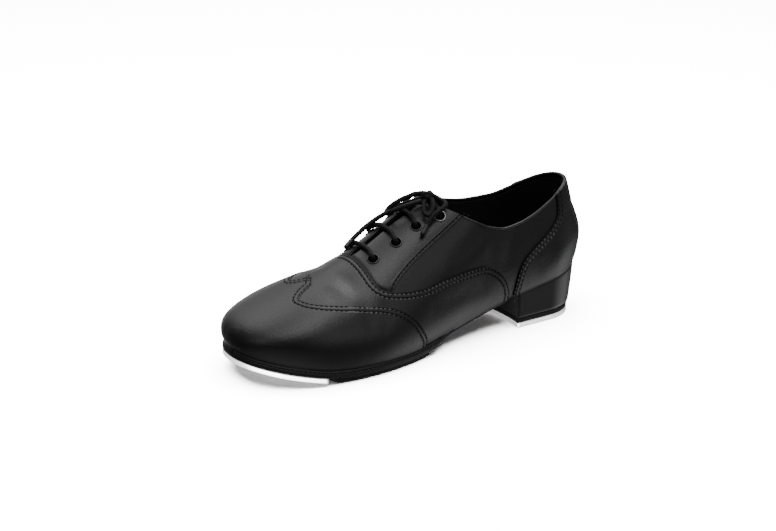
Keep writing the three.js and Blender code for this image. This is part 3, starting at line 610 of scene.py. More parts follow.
@dataclass
class Sheet:
    """Mesh of one piece, from grids that are laid point by point, in millimetres."""

    name: str
    last: Last
    mesh: bmesh.types.BMesh = field(default_factory=bmesh.new)

    def lay(self, along: int, across: int, place: Place) -> None:
        """Adds a grid and lays it on its place.

        Args:
            along: steps of the first share.
            across: steps of the second share.
            place: gives points from the two shares, each from 0 to 1.
        """
        made = bmesh.ops.create_grid(self.mesh, x_segments=along, y_segments=across, size=0.5)["verts"]
        flat = np.array([v.co for v in made])
        for vert, co in zip(made, place(flat[:, 0] + 0.5, flat[:, 1] + 0.5)):
            vert.co = co

    def close(self, reach: float = 0.02) -> None:
        """Joins the grids where they meet, within a reach, and turns the faces outwards."""
        bmesh.ops.remove_doubles(self.mesh, verts=self.mesh.verts, dist=reach)
        bmesh.ops.dissolve_degenerate(self.mesh, dist=reach / 4, edges=self.mesh.edges)
        loose = [e for e in self.mesh.edges if not e.link_faces]
        bmesh.ops.delete(self.mesh, geom=loose, context="EDGES")
        bmesh.ops.recalc_face_normals(self.mesh, faces=self.mesh.faces)
        middle = sum((v.co for v in self.mesh.verts), Vector()) / len(self.mesh.verts)
        lean = sum(f.normal.dot(f.calc_center_median() - middle) * f.calc_area() for f in self.mesh.faces)
        if lean < 0:
            bmesh.ops.reverse_faces(self.mesh, faces=self.mesh.faces)
        self.mesh.normal_update()

    def pierce(self, middles: Sequence[tuple[Array, Array]], radius: float) -> None:
        """Cuts round holes.

        Args:
            middles: each hole's middle and direction.
            radius: radius of the holes.
        """
        for middle, normal in middles:
            middle, normal = Vector(middle), Vector(normal)

            def away(co: Vector) -> Vector:
                """The part of a distance that is square to the hole."""
                return (co - middle) - normal * (co - middle).dot(normal)

            near = [f for f in self.mesh.faces if (f.calc_center_median() - middle).length < radius * 3]
            inside = [f for f in near if away(f.calc_center_median()).length < radius]
            if not inside:
                continue
            bmesh.ops.delete(self.mesh, geom=inside, context="FACES")
            rim = {v for f in near if f.is_valid for v in f.verts
                   if v.is_boundary and away(v.co).length < radius * 1.6}
            for vert in rim:
                out = away(vert.co)
                vert.co += out.normalized() * radius - out
        self.mesh.normal_update()

    def fair(self, middle: Vec, radius: float) -> None:
        """Lays a smooth patch over a pole at the toe, fitted to the leather round it.

        Args:
            middle: the pole.
            radius: how far from it the patch reaches.
        """
        seen, outside, blend = radius * 1.6, radius * 0.75, radius * 0.45
        spot = Vector(middle)
        verts = [v for v in self.mesh.verts if (v.co - spot).length < seen]
        gone = np.array([v.co - spot for v in verts])
        y, z = gone[:, 1], gone[:, 2]
        terms = np.stack([y * 0 + 1, y, z, y * y, y * z, z * z, y * y * z, z ** 3], -1)
        far = np.linalg.norm(gone, axis=1)
        ring = far > outside
        share = np.clip((radius - far) / blend, 0, 1)
        share = share * share * (3 - 2 * share)
        fitted = terms @ np.linalg.lstsq(terms[ring], gone[ring, 0], rcond=None)[0]
        for vert, now, goal, weight in zip(verts, gone[:, 0], fitted, share):
            vert.co.x = spot.x + now + (goal - now) * weight
        self.mesh.normal_update()

    def press(self, folds: Sequence[Fold]) -> None:
        """Presses soft troughs, or ridges where a fold's depth is below zero.

        Args:
            folds: the creases.
        """
        for fold in folds:
            tree = fold.line.tree()
            for vert in self.mesh.verts:
                gone = tree.find(vert.co)[2]
                if gone < fold.width * 3:
                    vert.co -= vert.normal * fold.depth * math.exp(-(gone / fold.width) ** 2)
        self.mesh.normal_update()

    def sink(self, depth: Array | float) -> None:
        """Moves each point into the leather, along its normal.

        Args:
            depth: one depth, or one for each point.
        """
        for vert, deep in zip(self.mesh.verts, np.broadcast_to(depth, len(self.mesh.verts))):
            vert.co -= vert.normal * float(deep)
        self.mesh.normal_update()

    def settle(self) -> None:
        """Brings the lowest row down onto the sole."""
        above, below = 0.8, 0.2
        for vert in self.mesh.verts:
            low = float(self.last.floor(np.array(vert.co.x)))
            if vert.co.z < low + above:
                vert.co.z = low - below

    def note(self, seams: Sequence[Seam], name: str = "edge") -> Array:
        """Stores each point's distance from the nearest of some seams.

        Args:
            seams: the panel's edges.
            name: the attribute's name.
        Returns:
            The distances.
        """
        limit = 30.0
        layer = self.mesh.verts.layers.float.new(name)
        trees = [seam.tree() for seam in seams]
        found = []
        for vert in self.mesh.verts:
            vert[layer] = min([limit] + [tree.find(vert.co)[2] for tree in trees])
            found.append(vert[layer])
        return np.array(found)

    def finish(self, slot: str, finish: bpy.types.Material, wall: float = 0.0, bevel: float = 0.0,
               steps: int = 2) -> bpy.types.Object:
        """Makes the object, in metres, in the shoe's own frame.

        Args:
            slot: the record's material slot; not used.
            finish: the material.
            wall: thickness that is added inwards.
            bevel: rounding of the edges.
            steps: segments of the rounding.
        Returns:
            The finished object.
        """
        sharp = math.radians(50)
        x, y = self.last.origin
        bmesh.ops.translate(self.mesh, verts=self.mesh.verts, vec=(-x, -y, 0))
        bmesh.ops.scale(self.mesh, verts=self.mesh.verts, vec=(MM, MM, MM))
        for face in self.mesh.faces:
            face.smooth = True
        data = bpy.data.meshes.new(self.name)
        self.mesh.to_mesh(data)
        self.mesh.free()
        data.materials.append(finish)
        piece = bpy.data.objects.new(self.name, data)
        bpy.context.scene.collection.objects.link(piece)
        if wall:
            solidify = piece.modifiers.new("wall", "SOLIDIFY")
            solidify.thickness = wall * MM
            solidify.offset = -1
            solidify.use_even_offset = True
        if bevel:
            rounding = piece.modifiers.new("rounding", "BEVEL")
            rounding.width = bevel * MM
            rounding.segments = steps
            rounding.limit_method = "ANGLE"
            rounding.angle_limit = sharp
            rounding.miter_outer = "MITER_ARC"
            piece.modifiers.new("shade", "WEIGHTED_NORMAL").keep_sharp = True
        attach(piece, "root")
        LOG.info("%s: %d faces", self.name, len(data.polygons))
        return piece


def tube(name: str, last: Last, line: Array, across: float, sides: int = 14) -> Sheet:
    """Closed sheet of one cord.

    Args:
        name: name of the piece.
        last: the last.
        line: the cord's middle, as evenly spaced points.
        across: its diameter.
        sides: steps round it.
    Returns:
        The sheet.
    """
    sheet = Sheet(name, last)
    add_tube(sheet, line, across, sides)
    sheet.close()
    return sheet


class Socket:
    """Value in a shader that takes part in sums."""

    def __init__(self, shader: "Shader", link: object) -> None:
        """Holds a node's output, or a number."""
        self.shader, self.link = shader, link

    def _math(self, operation: str, *values: object) -> "Socket":
        """A Math node on this and other values."""
        return self.shader.node("ShaderNodeMath", {"operation": operation}, dict(enumerate(values)))

    def __add__(self, other: object) -> "Socket":
        """Sum."""
        return self._math("ADD", self, other)

    def __sub__(self, other: object) -> "Socket":
        """Difference."""
        return self._math("SUBTRACT", self, other)

    def __rsub__(self, other: object) -> "Socket":
        """Difference from a number."""
        return self._math("SUBTRACT", other, self)

    def __mul__(self, other: object) -> "Socket":
        """Product."""
        return self._math("MULTIPLY", self, other)

    def __truediv__(self, other: object) -> "Socket":
        """Quotient."""
        return self._math("DIVIDE", self, other)

    def __pow__(self, other: object) -> "Socket":
        """Power."""
        return self._math("POWER", self, other)

    __radd__ = __add__
    __rmul__ = __mul__

    def bell(self, middle: float, width: float) -> "Socket":
        """1 at the middle, falling off on both sides."""
        away = (self - middle) / width
        return self._math("EXPONENT", away * away * -1.0)


class Shader:
    """Node tree of a material or of the world."""

    def __init__(self, owner: bpy.types.Material | bpy.types.World) -> None:
        """Starts with an empty tree."""
        owner.use_nodes = True
        self.owner, self.tree = owner, owner.node_tree
        self.tree.nodes.clear()

    @classmethod
    def named(cls, name: str) -> "Shader":
        """Shader of a new material."""
        return cls(bpy.data.materials.new(name))

    def node(self, kind: str, settings: dict, inputs: dict, output: object = 0) -> Socket:
        """Adds a node.

        Args:
            kind: the node's type.
            settings: its own settings, set first.
            inputs: values or links of its sockets, by name or index.
            output: the output that is returned.
        Returns:
            The output's socket.
        """
        made = self.tree.nodes.new(kind)
        for key, value in settings.items():
            setattr(made, key, value)
        for key, value in inputs.items():
            if isinstance(value, Socket):
                self.tree.links.new(value.link, made.inputs[key])
            else:
                made.inputs[key].default_value = value
        return Socket(self, made.outputs[output])

    def clamped(self, value: Socket) -> Socket:
        """The value kept between 0 and 1."""
        return self.node("ShaderNodeClamp", {}, {"Value": value})

    def place(self) -> Socket:
        """Coordinates of the shoe's own frame."""
        return self.node("ShaderNodeTexCoord", {}, {}, "Object")

    def stretched(self, scale: Vec) -> Socket:
        """Coordinates stretched along the axes."""
        return self.node("ShaderNodeMapping", {}, {"Vector": self.place(), "Scale": scale})

    def noise(self, size: float, detail: float = 2.0, stretch: Vec | None = None) -> Socket:
        """Soft noise whose patches have a size in millimetres, stretched along the axes or not."""
        at = self.stretched(stretch) if stretch else self.place()
        inputs = {"Vector": at, "Scale": 1 / (size * MM), "Detail": detail}
        return self.node("ShaderNodeTexNoise", {}, inputs, "Fac")

    def cells(self, size: float) -> Socket:
        """Distance in a soft pattern of cells whose size is in millimetres."""
        inputs = {"Vector": self.place(), "Scale": 1 / (size * MM)}
        return self.node("ShaderNodeTexVoronoi", {"feature": "SMOOTH_F1"}, inputs, "Distance")

    def attribute(self, name: str) -> Socket:
        """Number stored on the mesh."""
        return self.node("ShaderNodeAttribute", {"attribute_name": name}, {}, "Fac")

    def blend(self, factor: Socket, first: tuple, second: tuple) -> Socket:
        """Mix of two colours."""
        inputs = {"Factor": factor, 6: first, 7: second}
        return self.node("ShaderNodeMix", {"data_type": "RGBA"}, inputs, 2)

    def bump(self, height: Socket, depth: float, strength: float = 1.0) -> Socket:
        """Normal from a height, whose depth is in millimetres."""
        inputs = {"Height": height, "Distance": depth * MM, "Strength": strength}
        return self.node("ShaderNodeBump", {}, inputs)

    def surface(self, inputs: dict) -> bpy.types.Material:
        """Ends the material in a principled surface."""
        self.end("ShaderNodeOutputMaterial", self.node("ShaderNodeBsdfPrincipled", {}, inputs))
        return self.owner

    def end(self, kind: str, shown: Socket) -> None:
        """Shows a shader through an output node."""
        self.tree.links.new(shown.link, self.tree.nodes.new(kind).inputs["Surface"])


def grey(value: float, tint: float = 0.0) -> tuple[float, float, float, float]:
    """Nearly neutral colour, a little blue where tint is above zero."""
    return (value * (1 - tint), value, value * (1 + tint), 1.0)


@dataclass(frozen=True)
class Leather:
    """Smooth black leather with a soft sheen."""

    name: str = "leather"
    tone: float = 0.004
    roughness: float = 0.38
    grain: float = 1.6
    rows: tuple[float, ...] = ()

    def build(self) -> bpy.types.Material:
        """Makes the material: pebbled grain, pores, uneven gloss, a random mottle of the tone, the troughs of its
        stitch rows and a painted highlight that lightens the colour along the panel's edge.
        """
        s = Shader.named(self.name)
        cloud = s.noise(26, 3)
        fine = s.noise(0.5, 3)
        pebbles = s.cells(1.15)
        height = pebbles * 0.35 + fine * 0.22 + s.noise(7, 2) * 0.5
        # Random mottle of the tone; on panels with stitch rows a painted highlight is added to it further down.
        mottle_and_edge_highlight = cloud * 0.5 + fine * 0.2
        if self.rows:
            edge = s.attribute("edge")
            for row in self.rows:
                height = height - edge.bell(row, 0.42) * 2.6
            height = height + edge.bell((self.rows[0] + self.rows[-1]) / 2, 1.1) * 0.5
            # Painted highlight: the colour is lightened in a thin band just inside the panel's edge, where the
            # turned edge catches the light.
            mottle_and_edge_highlight = mottle_and_edge_highlight + edge.bell(0.15, 0.5) * 0.5
        rough = s.clamped(self.roughness - 0.06 + cloud * 0.08 + fine * 0.08)
        return s.surface({
            "Base Color": s.blend(s.clamped(mottle_and_edge_highlight), grey(self.tone * 0.75, 0.03), grey(self.tone * 1.45, 0.03)),
            "Roughness": rough,
            "Normal": s.bump(height, 0.16 * self.grain, 0.9),
        })


@dataclass(frozen=True)
class Cloth:
    """Matt woven or brushed surface, such as the lining."""

    name: str
    tone: float
    weave: float = 0.5
    roughness: float = 0.85

    def build(self) -> bpy.types.Material:
        """Makes the material: crossed waves with fuzz."""
        s = Shader.named(self.name)
        inputs = {"Vector": s.place(), "Scale": 0.32 / (self.weave * MM), "Distortion": 1.5, "Detail": 1.0}
        waves = [s.node("ShaderNodeTexWave", {"bands_direction": axis}, inputs, "Fac") for axis in ("X", "Z")]
        fuzz = s.noise(0.25, 3)
        height = waves[0] * waves[1] + fuzz * 0.6
        tone = s.blend(s.clamped(height * 0.8), grey(self.tone * 0.6), grey(self.tone * 1.5))
        return s.surface({
            "Base Color": tone,
            "Roughness": self.roughness,
            "Normal": s.bump(height, 0.12, 0.8),
            "Specular IOR Level": 0.3,
        })


@dataclass(frozen=True)
class Cord:
    """Braided cord: its pattern follows the piece's own map, across in turns and along in diameters."""

    name: str = "lace"
    tone: float = 0.002

    def build(self) -> bpy.types.Material:
        """Makes the material: two sets of strands that cross."""
        s = Shader.named(self.name)
        uv = s.node("ShaderNodeUVMap", {"uv_map": "UVMap"}, {})
        along, around = (s.node("ShaderNodeSeparateXYZ", {}, {0: uv}, axis) for axis in ("X", "Y"))
        strands = []
        for way in (1, -1):
            phase = (along * 1.6 + around * (4 * way)) * (2 * math.pi)
            strands.append(s.node("ShaderNodeMath", {"operation": "SINE"}, {0: phase}))
        over = s.node("ShaderNodeMath", {"operation": "MAXIMUM"}, dict(enumerate(strands)))
        fuzz = s.noise(0.22, 3)
        height = over * 0.5 + fuzz * 0.5
        return s.surface({
            "Base Color": s.blend(s.clamped(height * 0.6 + 0.3), grey(self.tone * 0.5), grey(self.tone * 1.8)),
            "Roughness": 0.7,
            "Normal": s.bump(height, 0.3, 1.0),
            "Specular IOR Level": 0.3,
            "Sheen Weight": 0.03,
            "Sheen Roughness": 0.5,
        })


@dataclass(frozen=True)
class Polish:
    """Painted or moulded surface with a satin gloss, such as the heel's cover and the sole's edge."""

    name: str
    tone: float
    roughness: float
    speckle: float = 0.5
    depth: float = 0.05
    coat: float = 0.2

    def build(self) -> bpy.types.Material:
        """Makes the material: fine speckle, faint streaks and uneven gloss."""
        s = Shader.named(self.name)
        speckle = s.noise(self.speckle, 3)
        streak = s.noise(2.2, 2, (1, 1, 0.12))
        height = speckle + streak * 0.4
        return s.surface({
            "Base Color": s.blend(s.clamped(speckle * 0.6 + s.noise(14) * 0.4), grey(self.tone * 0.7),
                                  grey(self.tone * 1.4)),
            "Roughness": s.clamped(self.roughness - 0.05 + streak * 0.1 + speckle * 0.06),
            "Normal": s.bump(height, self.depth, 0.8),
            "Coat Weight": self.coat,
            "Coat Roughness": 0.25,
        })


@dataclass(frozen=True)
class Metal:
    """Bare or enamelled metal."""

    name: str
    tone: float
    roughness: float
    metallic: float = 1.0
    scratch: float = 0.02

    def build(self) -> bpy.types.Material:
        """Makes the material: brushed lines, scuffs and uneven gloss."""
        s = Shader.named(self.name)
        brush = s.noise(0.35, 3, (0.06, 1, 1))
        scuff = s.noise(5, 4)
        return s.surface({
            "Base Color": s.blend(s.clamped(scuff * 0.7 + brush * 0.3), grey(self.tone * 0.82), grey(self.tone)),
            "Metallic": self.metallic,
            "Roughness": s.clamped(self.roughness - 0.06 + brush * 0.1 + scuff * 0.08),
            "Normal": s.bump(brush, self.scratch, 0.7),
        })


@dataclass
class Upper:
    """Leather parts over the foot, with their lining, tongue and insole."""

    last: Last
    base: float = 1.2
    panel: float = 0.1
    cap_lift: float = 0.5
    lining: float = 2.45
    rows: tuple[float, float] = (0.9, 3.8)
    single_row: tuple[float, ...] = (1.6,)
    pitch: float = 2.95
    hole: float = 3.2
    lip_width: float = 0.8
    lip_depth: float = 0.25
    under_cap: float = 7.0
    facing_span: tuple[float, float] = (98.0, 172.0)
    tongue_span: tuple[float, float] = (117.0, 176.0)
    quarters_end: float = 174.0
    seams: dict[str, list[Seam]] = field(default_factory=dict)

    def __post_init__(self) -> None:
        """Draws the panels' edges and makes the finishes."""
        last = self.last
        self.eyelets = [middle for pair in eyelet_frames(last) for middle in pair]
        self.cap_edge = {side: Level(table["t"], table["x"])
                         for side, table in ((OUTER, CAP_EDGE), (INNER, CAP_EDGE_INNER))}
        rise = np.linspace(CAP_EDGE["t"][0], CAP_EDGE["t"][-1], 900)
        self.seams["cap"] = [self.over(self.cap_edge[OUTER](rise), self.cap_edge[INNER](rise), rise)]
        self.vamp_top = Level(VAMP_TOP["x"], VAMP_TOP["t"])
        self.vamp_front = Level(VAMP_FRONT["t"], VAMP_FRONT["x"])
        tail, corner = VAMP_TOP["x"][0], VAMP_TOP["x"][-1]
        along = np.linspace(tail, corner, 600)
        rise = np.linspace(VAMP_FRONT["t"][0], VAMP_FRONT["t"][-1], 500)
        x = np.concatenate([np.full(200, tail), along, self.vamp_front(rise)])
        t = np.concatenate([np.linspace(-30, VAMP_TOP["t"][0], 200), self.vamp_top(along), rise])
        self.seams["vamp"] = [self.over(x, x, t)]
        self.facing_edge = Level(FACING_EDGE["x"], FACING_EDGE["t"])
        self.counter_edge = Level(COUNTER_EDGE["t"], COUNTER_EDGE["x"])
        along = np.linspace(FACING_EDGE["x"][0], FACING_EDGE["x"][-1] + 1, 500)
        rise = np.linspace(60, -30, 700)
        for side in SIDES:
            for name, x, t in (("facing", along, self.facing_edge(along)),
                               ("counter", self.counter_edge(rise), rise)):
                h = np.minimum(last.reach(Measure.SLANT, x, side, t), last.top(x, side))
                self.seams.setdefault(name, []).append(Seam(last, x, side, h))
        self.folds = [self.fold(rows, side, depth, width) for side in SIDES for rows, depth, width in FOLDS]
        self.plain = Leather("leather_plain").build()
        self.double = Leather("leather_double_row", rows=self.rows).build()
        self.single = Leather("leather_single_row", rows=self.single_row).build()
        self.inside = Cloth("lining", 0.004, 0.6).build()

    def slanted(self, x: Array, side: Array | float, t: Array) -> Seam:
        """Seam through stations and heights seen from half above."""
        return Seam(self.last, x, side, self.last.reach(Measure.SLANT, x, side, t))

    def over(self, outer: Array, inner: Array, t: Array) -> Seam:
        """Seam up the outer side and down the inner one.

        Args:
            outer: stations on the outer side.
            inner: stations on the inner side.
            t: heights seen from half above, the same on both.
        Returns:
            The seam.
        """
        x = np.concatenate([outer, inner[::-1]])
        return self.slanted(x, np.repeat(SIDES, len(t)), np.concatenate([t, t[::-1]]))

    def fold(self, rows: Sequence[Vec], side: float, depth: float, width: float) -> Fold:
        """Crease through stations and heights seen from half above."""
        whole = np.arange(len(rows))
        share = np.linspace(0, len(rows) - 1, 160)
        x, t = (Natural(whole, column)(share) for column in np.array(rows, float).T)
        return Fold(self.slanted(x, side, t), depth, width)

    def form(self, sheet: Sheet, depth: Array | float, holes: bool = False) -> None:
        """Shapes a leather sheet.

        Args:
            sheet: the sheet.
            depth: how deep it lies in the last's surface.
            holes: says whether the eyelets' holes are cut.
        """
        sheet.sink(depth)
        sheet.press(self.folds)
        sheet.settle()
        if holes:
            sheet.pierce(self.eyelets, self.hole)

    def cap_start(self, side: Array | float, h: Array) -> Array:
        """Station of the cap's edge on a row of the last."""

        def reached(x: Array) -> Array:
            """Stations that the cap covers."""
            t = self.last.measure(Measure.SLANT, x, side, h)
            return x >= np.where(np.greater(side, 0), self.cap_edge[OUTER](t), self.cap_edge[INNER](t))

        return solve(np.full(h.shape, 128.0), np.full(h.shape, 220.0), reached)

    def toe_cap(self) -> None:
        """Winged cap over the toe, on top of the vamp."""
        last = self.last
        sheet = Sheet("toe_cap_leather", last)

        def place(u: Array, v: Array) -> Array:
            """From the cap's edge to the tip, and over the crown."""
            side, gone = halves(v)
            h = 1 - gone
            x = last.spread(self.cap_start(side, h), last.length, 0.25 * u + 0.75 * u ** 1.3)
            return last.point(x, side, h)

        sheet.lay(96, 120, place)
        sheet.close()
        self.form(sheet, lip(sheet.note(self.seams["cap"]), 1.0, self.lip_depth) - self.cap_lift)
        sheet.fair(last.point(last.length, OUTER, 1.0), 9.0)
        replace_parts(sheet.finish("leather", self.double, wall=0.55, bevel=0.22), "toe_cap")

    def vamp(self) -> None:
        """Vamp with long tails along both sides, over the facings and quarters."""
        last = self.last
        sheet = Sheet("vamp_leather", last)
        tail_x, corner_x = float(VAMP_TOP["x"][0]), float(VAMP_TOP["x"][-1])
        corner = {s: float(last.reach(Measure.SLANT, corner_x, s, VAMP_TOP["t"][-1])) for s in SIDES}

        def front(side: Array, h: Array) -> Array:
            """Station of the edge that crosses the crown."""
            low, high = np.full(h.shape, corner_x - 0.01), np.full(h.shape, 171.0)
            return solve(low, high, lambda x: x >= self.vamp_front(last.measure(Measure.SLANT, x, side, h)))

        def stop(side: Array | float, h: Array) -> Array:
            """Station where the vamp ends under the cap."""
            return np.maximum(self.cap_start(side, h) + self.under_cap, corner_x + 4)

        def crown(u: Array, v: Array) -> Array:
            """Part between the corners, over the crown."""
            outer = v < 0.5
            side = np.where(outer, OUTER, INNER)
            low = np.where(outer, corner[OUTER], corner[INNER])
            h = low + (1 - low) * 2 * np.where(outer, v, 1 - v)
            start = np.where((v <= 0) | (v >= 1), corner_x, front(side, h))
            return last.point(start + (stop(side, h) - start) * u, side, h)

        sheet.lay(46, 76, crown)
        for s in SIDES:
            def low(u: Array, v: Array, s: float = s) -> Array:
                """Part under a corner."""
                h = corner[s] * v
                return last.point(corner_x + (stop(s, h) - corner_x) * u, s, h)

            def tail(u: Array, v: Array, s: float = s) -> Array:
                """Part behind a corner."""
                x = tail_x + (corner_x - tail_x) * (0.35 * u + 0.65 * u ** 1.8)
                return last.point(x, s, last.reach(Measure.SLANT, x, s, self.vamp_top(x)) * v)

            sheet.lay(46, 26, low)
            sheet.lay(76, 26, tail)
        sheet.close(0.05)
        self.form(sheet, self.panel + lip(sheet.note(self.seams["vamp"]), self.lip_width, self.lip_depth))
        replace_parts(sheet.finish("leather", self.double, wall=0.9, bevel=0.25), "vamp")

    def facing(self, side: float, name: str) -> None:
        """Facing that carries one row of eyelets; its front end dips under the vamp."""
        last = self.last
        sheet = Sheet(f"facing_{name}_leather", last)
        start, end = self.facing_span
        dip, dip_width, dip_from = 1.15, 2.2, 150.0

        def place(u: Array, v: Array) -> Array:
            """From the collar to the front, and up from the sewn edge."""
            x = start + (end - start) * u
            top = last.top(x, side)
            low = np.minimum(last.reach(Measure.SLANT, x, side, self.facing_edge(x)), top)
            return last.point(x, side, low + (top - low) * v)

        sheet.lay(70, 34, place)
        sheet.close(0.05)
        edge = sheet.note([self.seams["facing"][SIDES.index(side)]])
        ahead = sheet.note(self.seams["vamp"], "ahead")
        spots = np.array([v.co for v in sheet.mesh.verts])
        x = spots[:, 0]
        tuck = np.where(x > dip_from, np.clip(1 - ahead / dip_width, 0, 1), 0) ** 1.5
        under = (x > VAMP_TOP["x"][-1]) & (x > self.vamp_front(slant(spots, side)))
        self.form(sheet, self.panel + dip * np.where(under, 1.0, tuck) + lip(edge, self.lip_width, 0.3), True)
        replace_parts(sheet.finish("leather", self.single, wall=0.85, bevel=0.25), f"facing_{name}")

    def counter(self) -> None:
        """Counter round the heel."""
        last = self.last
        sheet = Sheet("heel_counter_leather", last)

        def place(u: Array, v: Array) -> Array:
            """Round the heel from the outer front edge, and up to the collar."""
            side, gone = halves(u)
            kinds, where = np.unique(np.stack([side, v], -1).round(6), axis=0, return_inverse=True)
            s, r = kinds[:, 0], kinds[:, 1]
            end = solve(np.full(len(s), 10.0), np.full(len(s), 80.0), lambda x: x >= self.counter_edge(
                last.measure(Measure.SLANT, x, s, r * last.top(x, s))), 18)
            x = last.spread(0.0, end[where.ravel()], gone)
            return last.point(x, side, v * last.top(x, side))

        sheet.lay(110, 56, place)
        sheet.close(0.04)
        self.form(sheet, self.panel + lip(sheet.note(self.seams["counter"]), self.lip_width, self.lip_depth))
        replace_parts(sheet.finish("leather", self.double, wall=0.9, bevel=0.25), "heel_counter")

    def wrap(self, name: str, end: float, steps: tuple[int, int], drop: float = 0.0) -> Sheet:
        """Sheet round the heel, from one front end to the other.

        Args:
            name: name of the piece.
            end: station of the front ends.
            steps: steps round the heel and up.
            drop: how far its edge stays under the upper's, as a share of the section.
        Returns:
            The sheet.
        """
        last = self.last
        sheet = Sheet(name, last)

        def place(u: Array, v: Array) -> Array:
            """Round the heel, and up to the top edge."""
            side, gone = halves(u)
            x = last.spread(0.0, end, gone)
            return last.point(x, side, v * (last.top(x, side) - np.where(x < THROAT["x"][-1], drop, 0)))

        sheet.lay(*steps, place)
        sheet.close(0.04)
        return sheet

    def quarters(self) -> None:
        """Quarters, which run round the heel under the other panels."""
        sheet = self.wrap("quarters_leather", self.quarters_end, (230, 50))
        self.form(sheet, self.base, True)
        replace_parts(sheet.finish("leather", self.plain, wall=1.2, bevel=0.45, steps=3), "upper")

    def lining_sheet(self) -> None:
        """Lining inside the whole upper."""
        sheet = self.wrap("lining_cloth", self.last.length, (200, 36), 0.012)
        sheet.sink(self.lining)
        sheet.pierce(self.eyelets, self.hole)
        sheet.finish("lining", self.inside, wall=0.6, bevel=0.2)

    def collar(self) -> None:
        """Rolled edge round the collar, and the seam inside it."""
        last = self.last
        share = np.linspace(0, 1, 900)
        thread = Cloth("lining_thread", 0.03, 0.3).build()
        for name, slot, finish, drop, depth, across, stop in (
                ("collar_edge", "leather", self.plain, 0.35, 1.75, 1.75, 103.0),
                ("lining_seam", "lining", thread, 5.4, self.lining, 0.55, 62.0)):
            rows = []
            for side in SIDES:
                x = last.spread(0.0, stop, share)
                height = last.point(x, side, last.top(x, side))[:, 2] - drop
                h = last.reach(Measure.HEIGHT, x, side, height)
                rows.append(last.point(x, side, h) - last.normal(x, side, h) * depth)
            line = smooth_line(np.concatenate([rows[0][:0:-1], rows[1]])[::6], 1.2)
            tube(name, last, line, across, 10).finish(slot, finish)

    def tongue(self) -> None:
        """Tongue just inside the facings, nearly flat across its middle."""
        last = self.last
        sheet = Sheet("tongue_leather", last)
        start, end = self.tongue_span
        half, shoulder, depth = 19.0, 11.0, 3.65

        def place(u: Array, v: Array) -> Array:
            """From the collar to the front, and across from the inner side."""
            x = start + (end - start) * u
            side, gone = halves(v)
            side, reach = -side, gone * half

            def at(w: Array | float) -> Array:
                """Point of the last at a half width."""
                return last.point(x, side, last.reach(Measure.HALF, x, side, -w))

            p = at(np.maximum(reach, shoulder))
            slope = (at(shoulder - 1)[:, 2] - at(shoulder + 1)[:, 2]) / 2
            flat = reach < shoulder
            p[:, 2] += np.where(flat, slope * (shoulder ** 2 - reach ** 2) / (2 * shoulder), 0)
            p[:, 1] = np.where(flat, last.curves["centre"](x) + side * reach, p[:, 1])
            p[:, 2] -= depth * (0.62 + 0.38 * (1 - reach / half)) * 1.12
            p[:, 0] -= depth * 0.42
            p[:, 1] -= side * depth * 0.9 * reach / half
            return p

        sheet.lay(60, 40, place)
        sheet.close()
        soft = Leather("leather_soft", tone=0.012, roughness=0.6, grain=1.6).build()
        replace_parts(sheet.finish("tongue", soft, wall=1.7, bevel=0.7, steps=3), "tongue")

    def insole(self) -> None:
        """Insole on the sole, with a shallow dish."""
        last = self.last
        sheet = Sheet("insole_cloth", last)
        inset, end_gap, above, dish = -3.6, 3.7, 2.2, 0.8

        def place(u: Array, v: Array) -> Array:
            """From the heel to the toe, and across from the inner side."""
            x = last.spread(0.0, last.length, u)
            x = end_gap + (last.length - 2 * end_gap) * x / last.length
            far, near = (last.feather_edge(s, x, inset) for s in (INNER, OUTER))
            z = last.floor(x) + above + dish * (2 * v - 1) ** 2
            return np.stack([x, far + (near - far) * v, z], -1)

        sheet.lay(110, 26, place)
        sheet.close()
        cloth = Cloth("insole", 0.006, 0.5).build()
        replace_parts(sheet.finish("lining", cloth, wall=1.7, bevel=0.3), "insole")

    def build(self) -> None:
        """Makes all the parts."""
        self.quarters()
        self.lining_sheet()
        self.collar()
        self.insole()
        self.tongue()
        self.counter()
        self.facing(OUTER, "left")
        self.facing(INNER, "right")
        self.vamp()
        self.toe_cap()


def stitch(sheet: Sheet, spot: Vec, axes: Sequence[Vec], size: Vec) -> None:
    """Adds one stitch.

    Args:
        sheet: where it goes.
        spot: its middle.
        axes: its directions along, across and out.
        size: its half length, half width and half height.
    """
    turn = Matrix(axes).transposed().to_4x4()
    bmesh.ops.create_uvsphere(sheet.mesh, u_segments=6, v_segments=5, radius=1,
                              matrix=Matrix.Translation(spot) @ turn @ Matrix.Diagonal((*size, 1)))


@dataclass
class Stitching:
    """Rows of thread on the panels, sunk a little into the leather."""

    upper: Upper
    size: tuple[float, float, float] = (1.0, 0.32, 0.28)
    sunk: float = 0.02

    def build(self) -> None:
        """Sews all the panels."""
        upper = self.upper
        thread = Cloth("thread", 0.002, 0.3, 0.7).build()
        plans = (
            ("cap", upper.rows, -upper.cap_lift), ("vamp", upper.rows, upper.panel),
            ("counter", upper.rows, upper.panel), ("facing", upper.single_row, upper.panel),
        )
        for name, rows, depth in plans:
            sheet = Sheet(f"stitches_{name}", upper.last)
            for k, seam in enumerate(upper.seams[name]):
                way = {"counter": 1 - 2 * k, "facing": 2 * k - 1}.get(name, 1)
                for row in rows:
                    line = seam.beside(row * way)
                    for i in evenly(line.point, upper.pitch):
                        stitch(sheet, line.point[i] - line.normal[i] * (depth + self.sunk),
                               (line.tangent[i], line.inward[i], line.normal[i]), self.size)
            sheet.finish("lace", thread)


def block(sheet: Sheet, steps: tuple[int, int, int], place: Solid) -> None:
    """Lays the six faces of a block whose points come from three shares.

    Args:
        sheet: where the faces go.
        steps: steps of the three shares.
        place: gives points from the shares along, across and up.
    """
    along, across, up = steps
    for end in (0.0, 1.0):
        sheet.lay(along, across, lambda u, v, end=end: place(u, v, np.full(u.shape, end)))
        sheet.lay(along, up, lambda u, w, end=end: place(u, np.full(u.shape, end), w))
        sheet.lay(across, up, lambda v, w, end=end: place(np.full(v.shape, end), v, w))
    sheet.close(0.004)


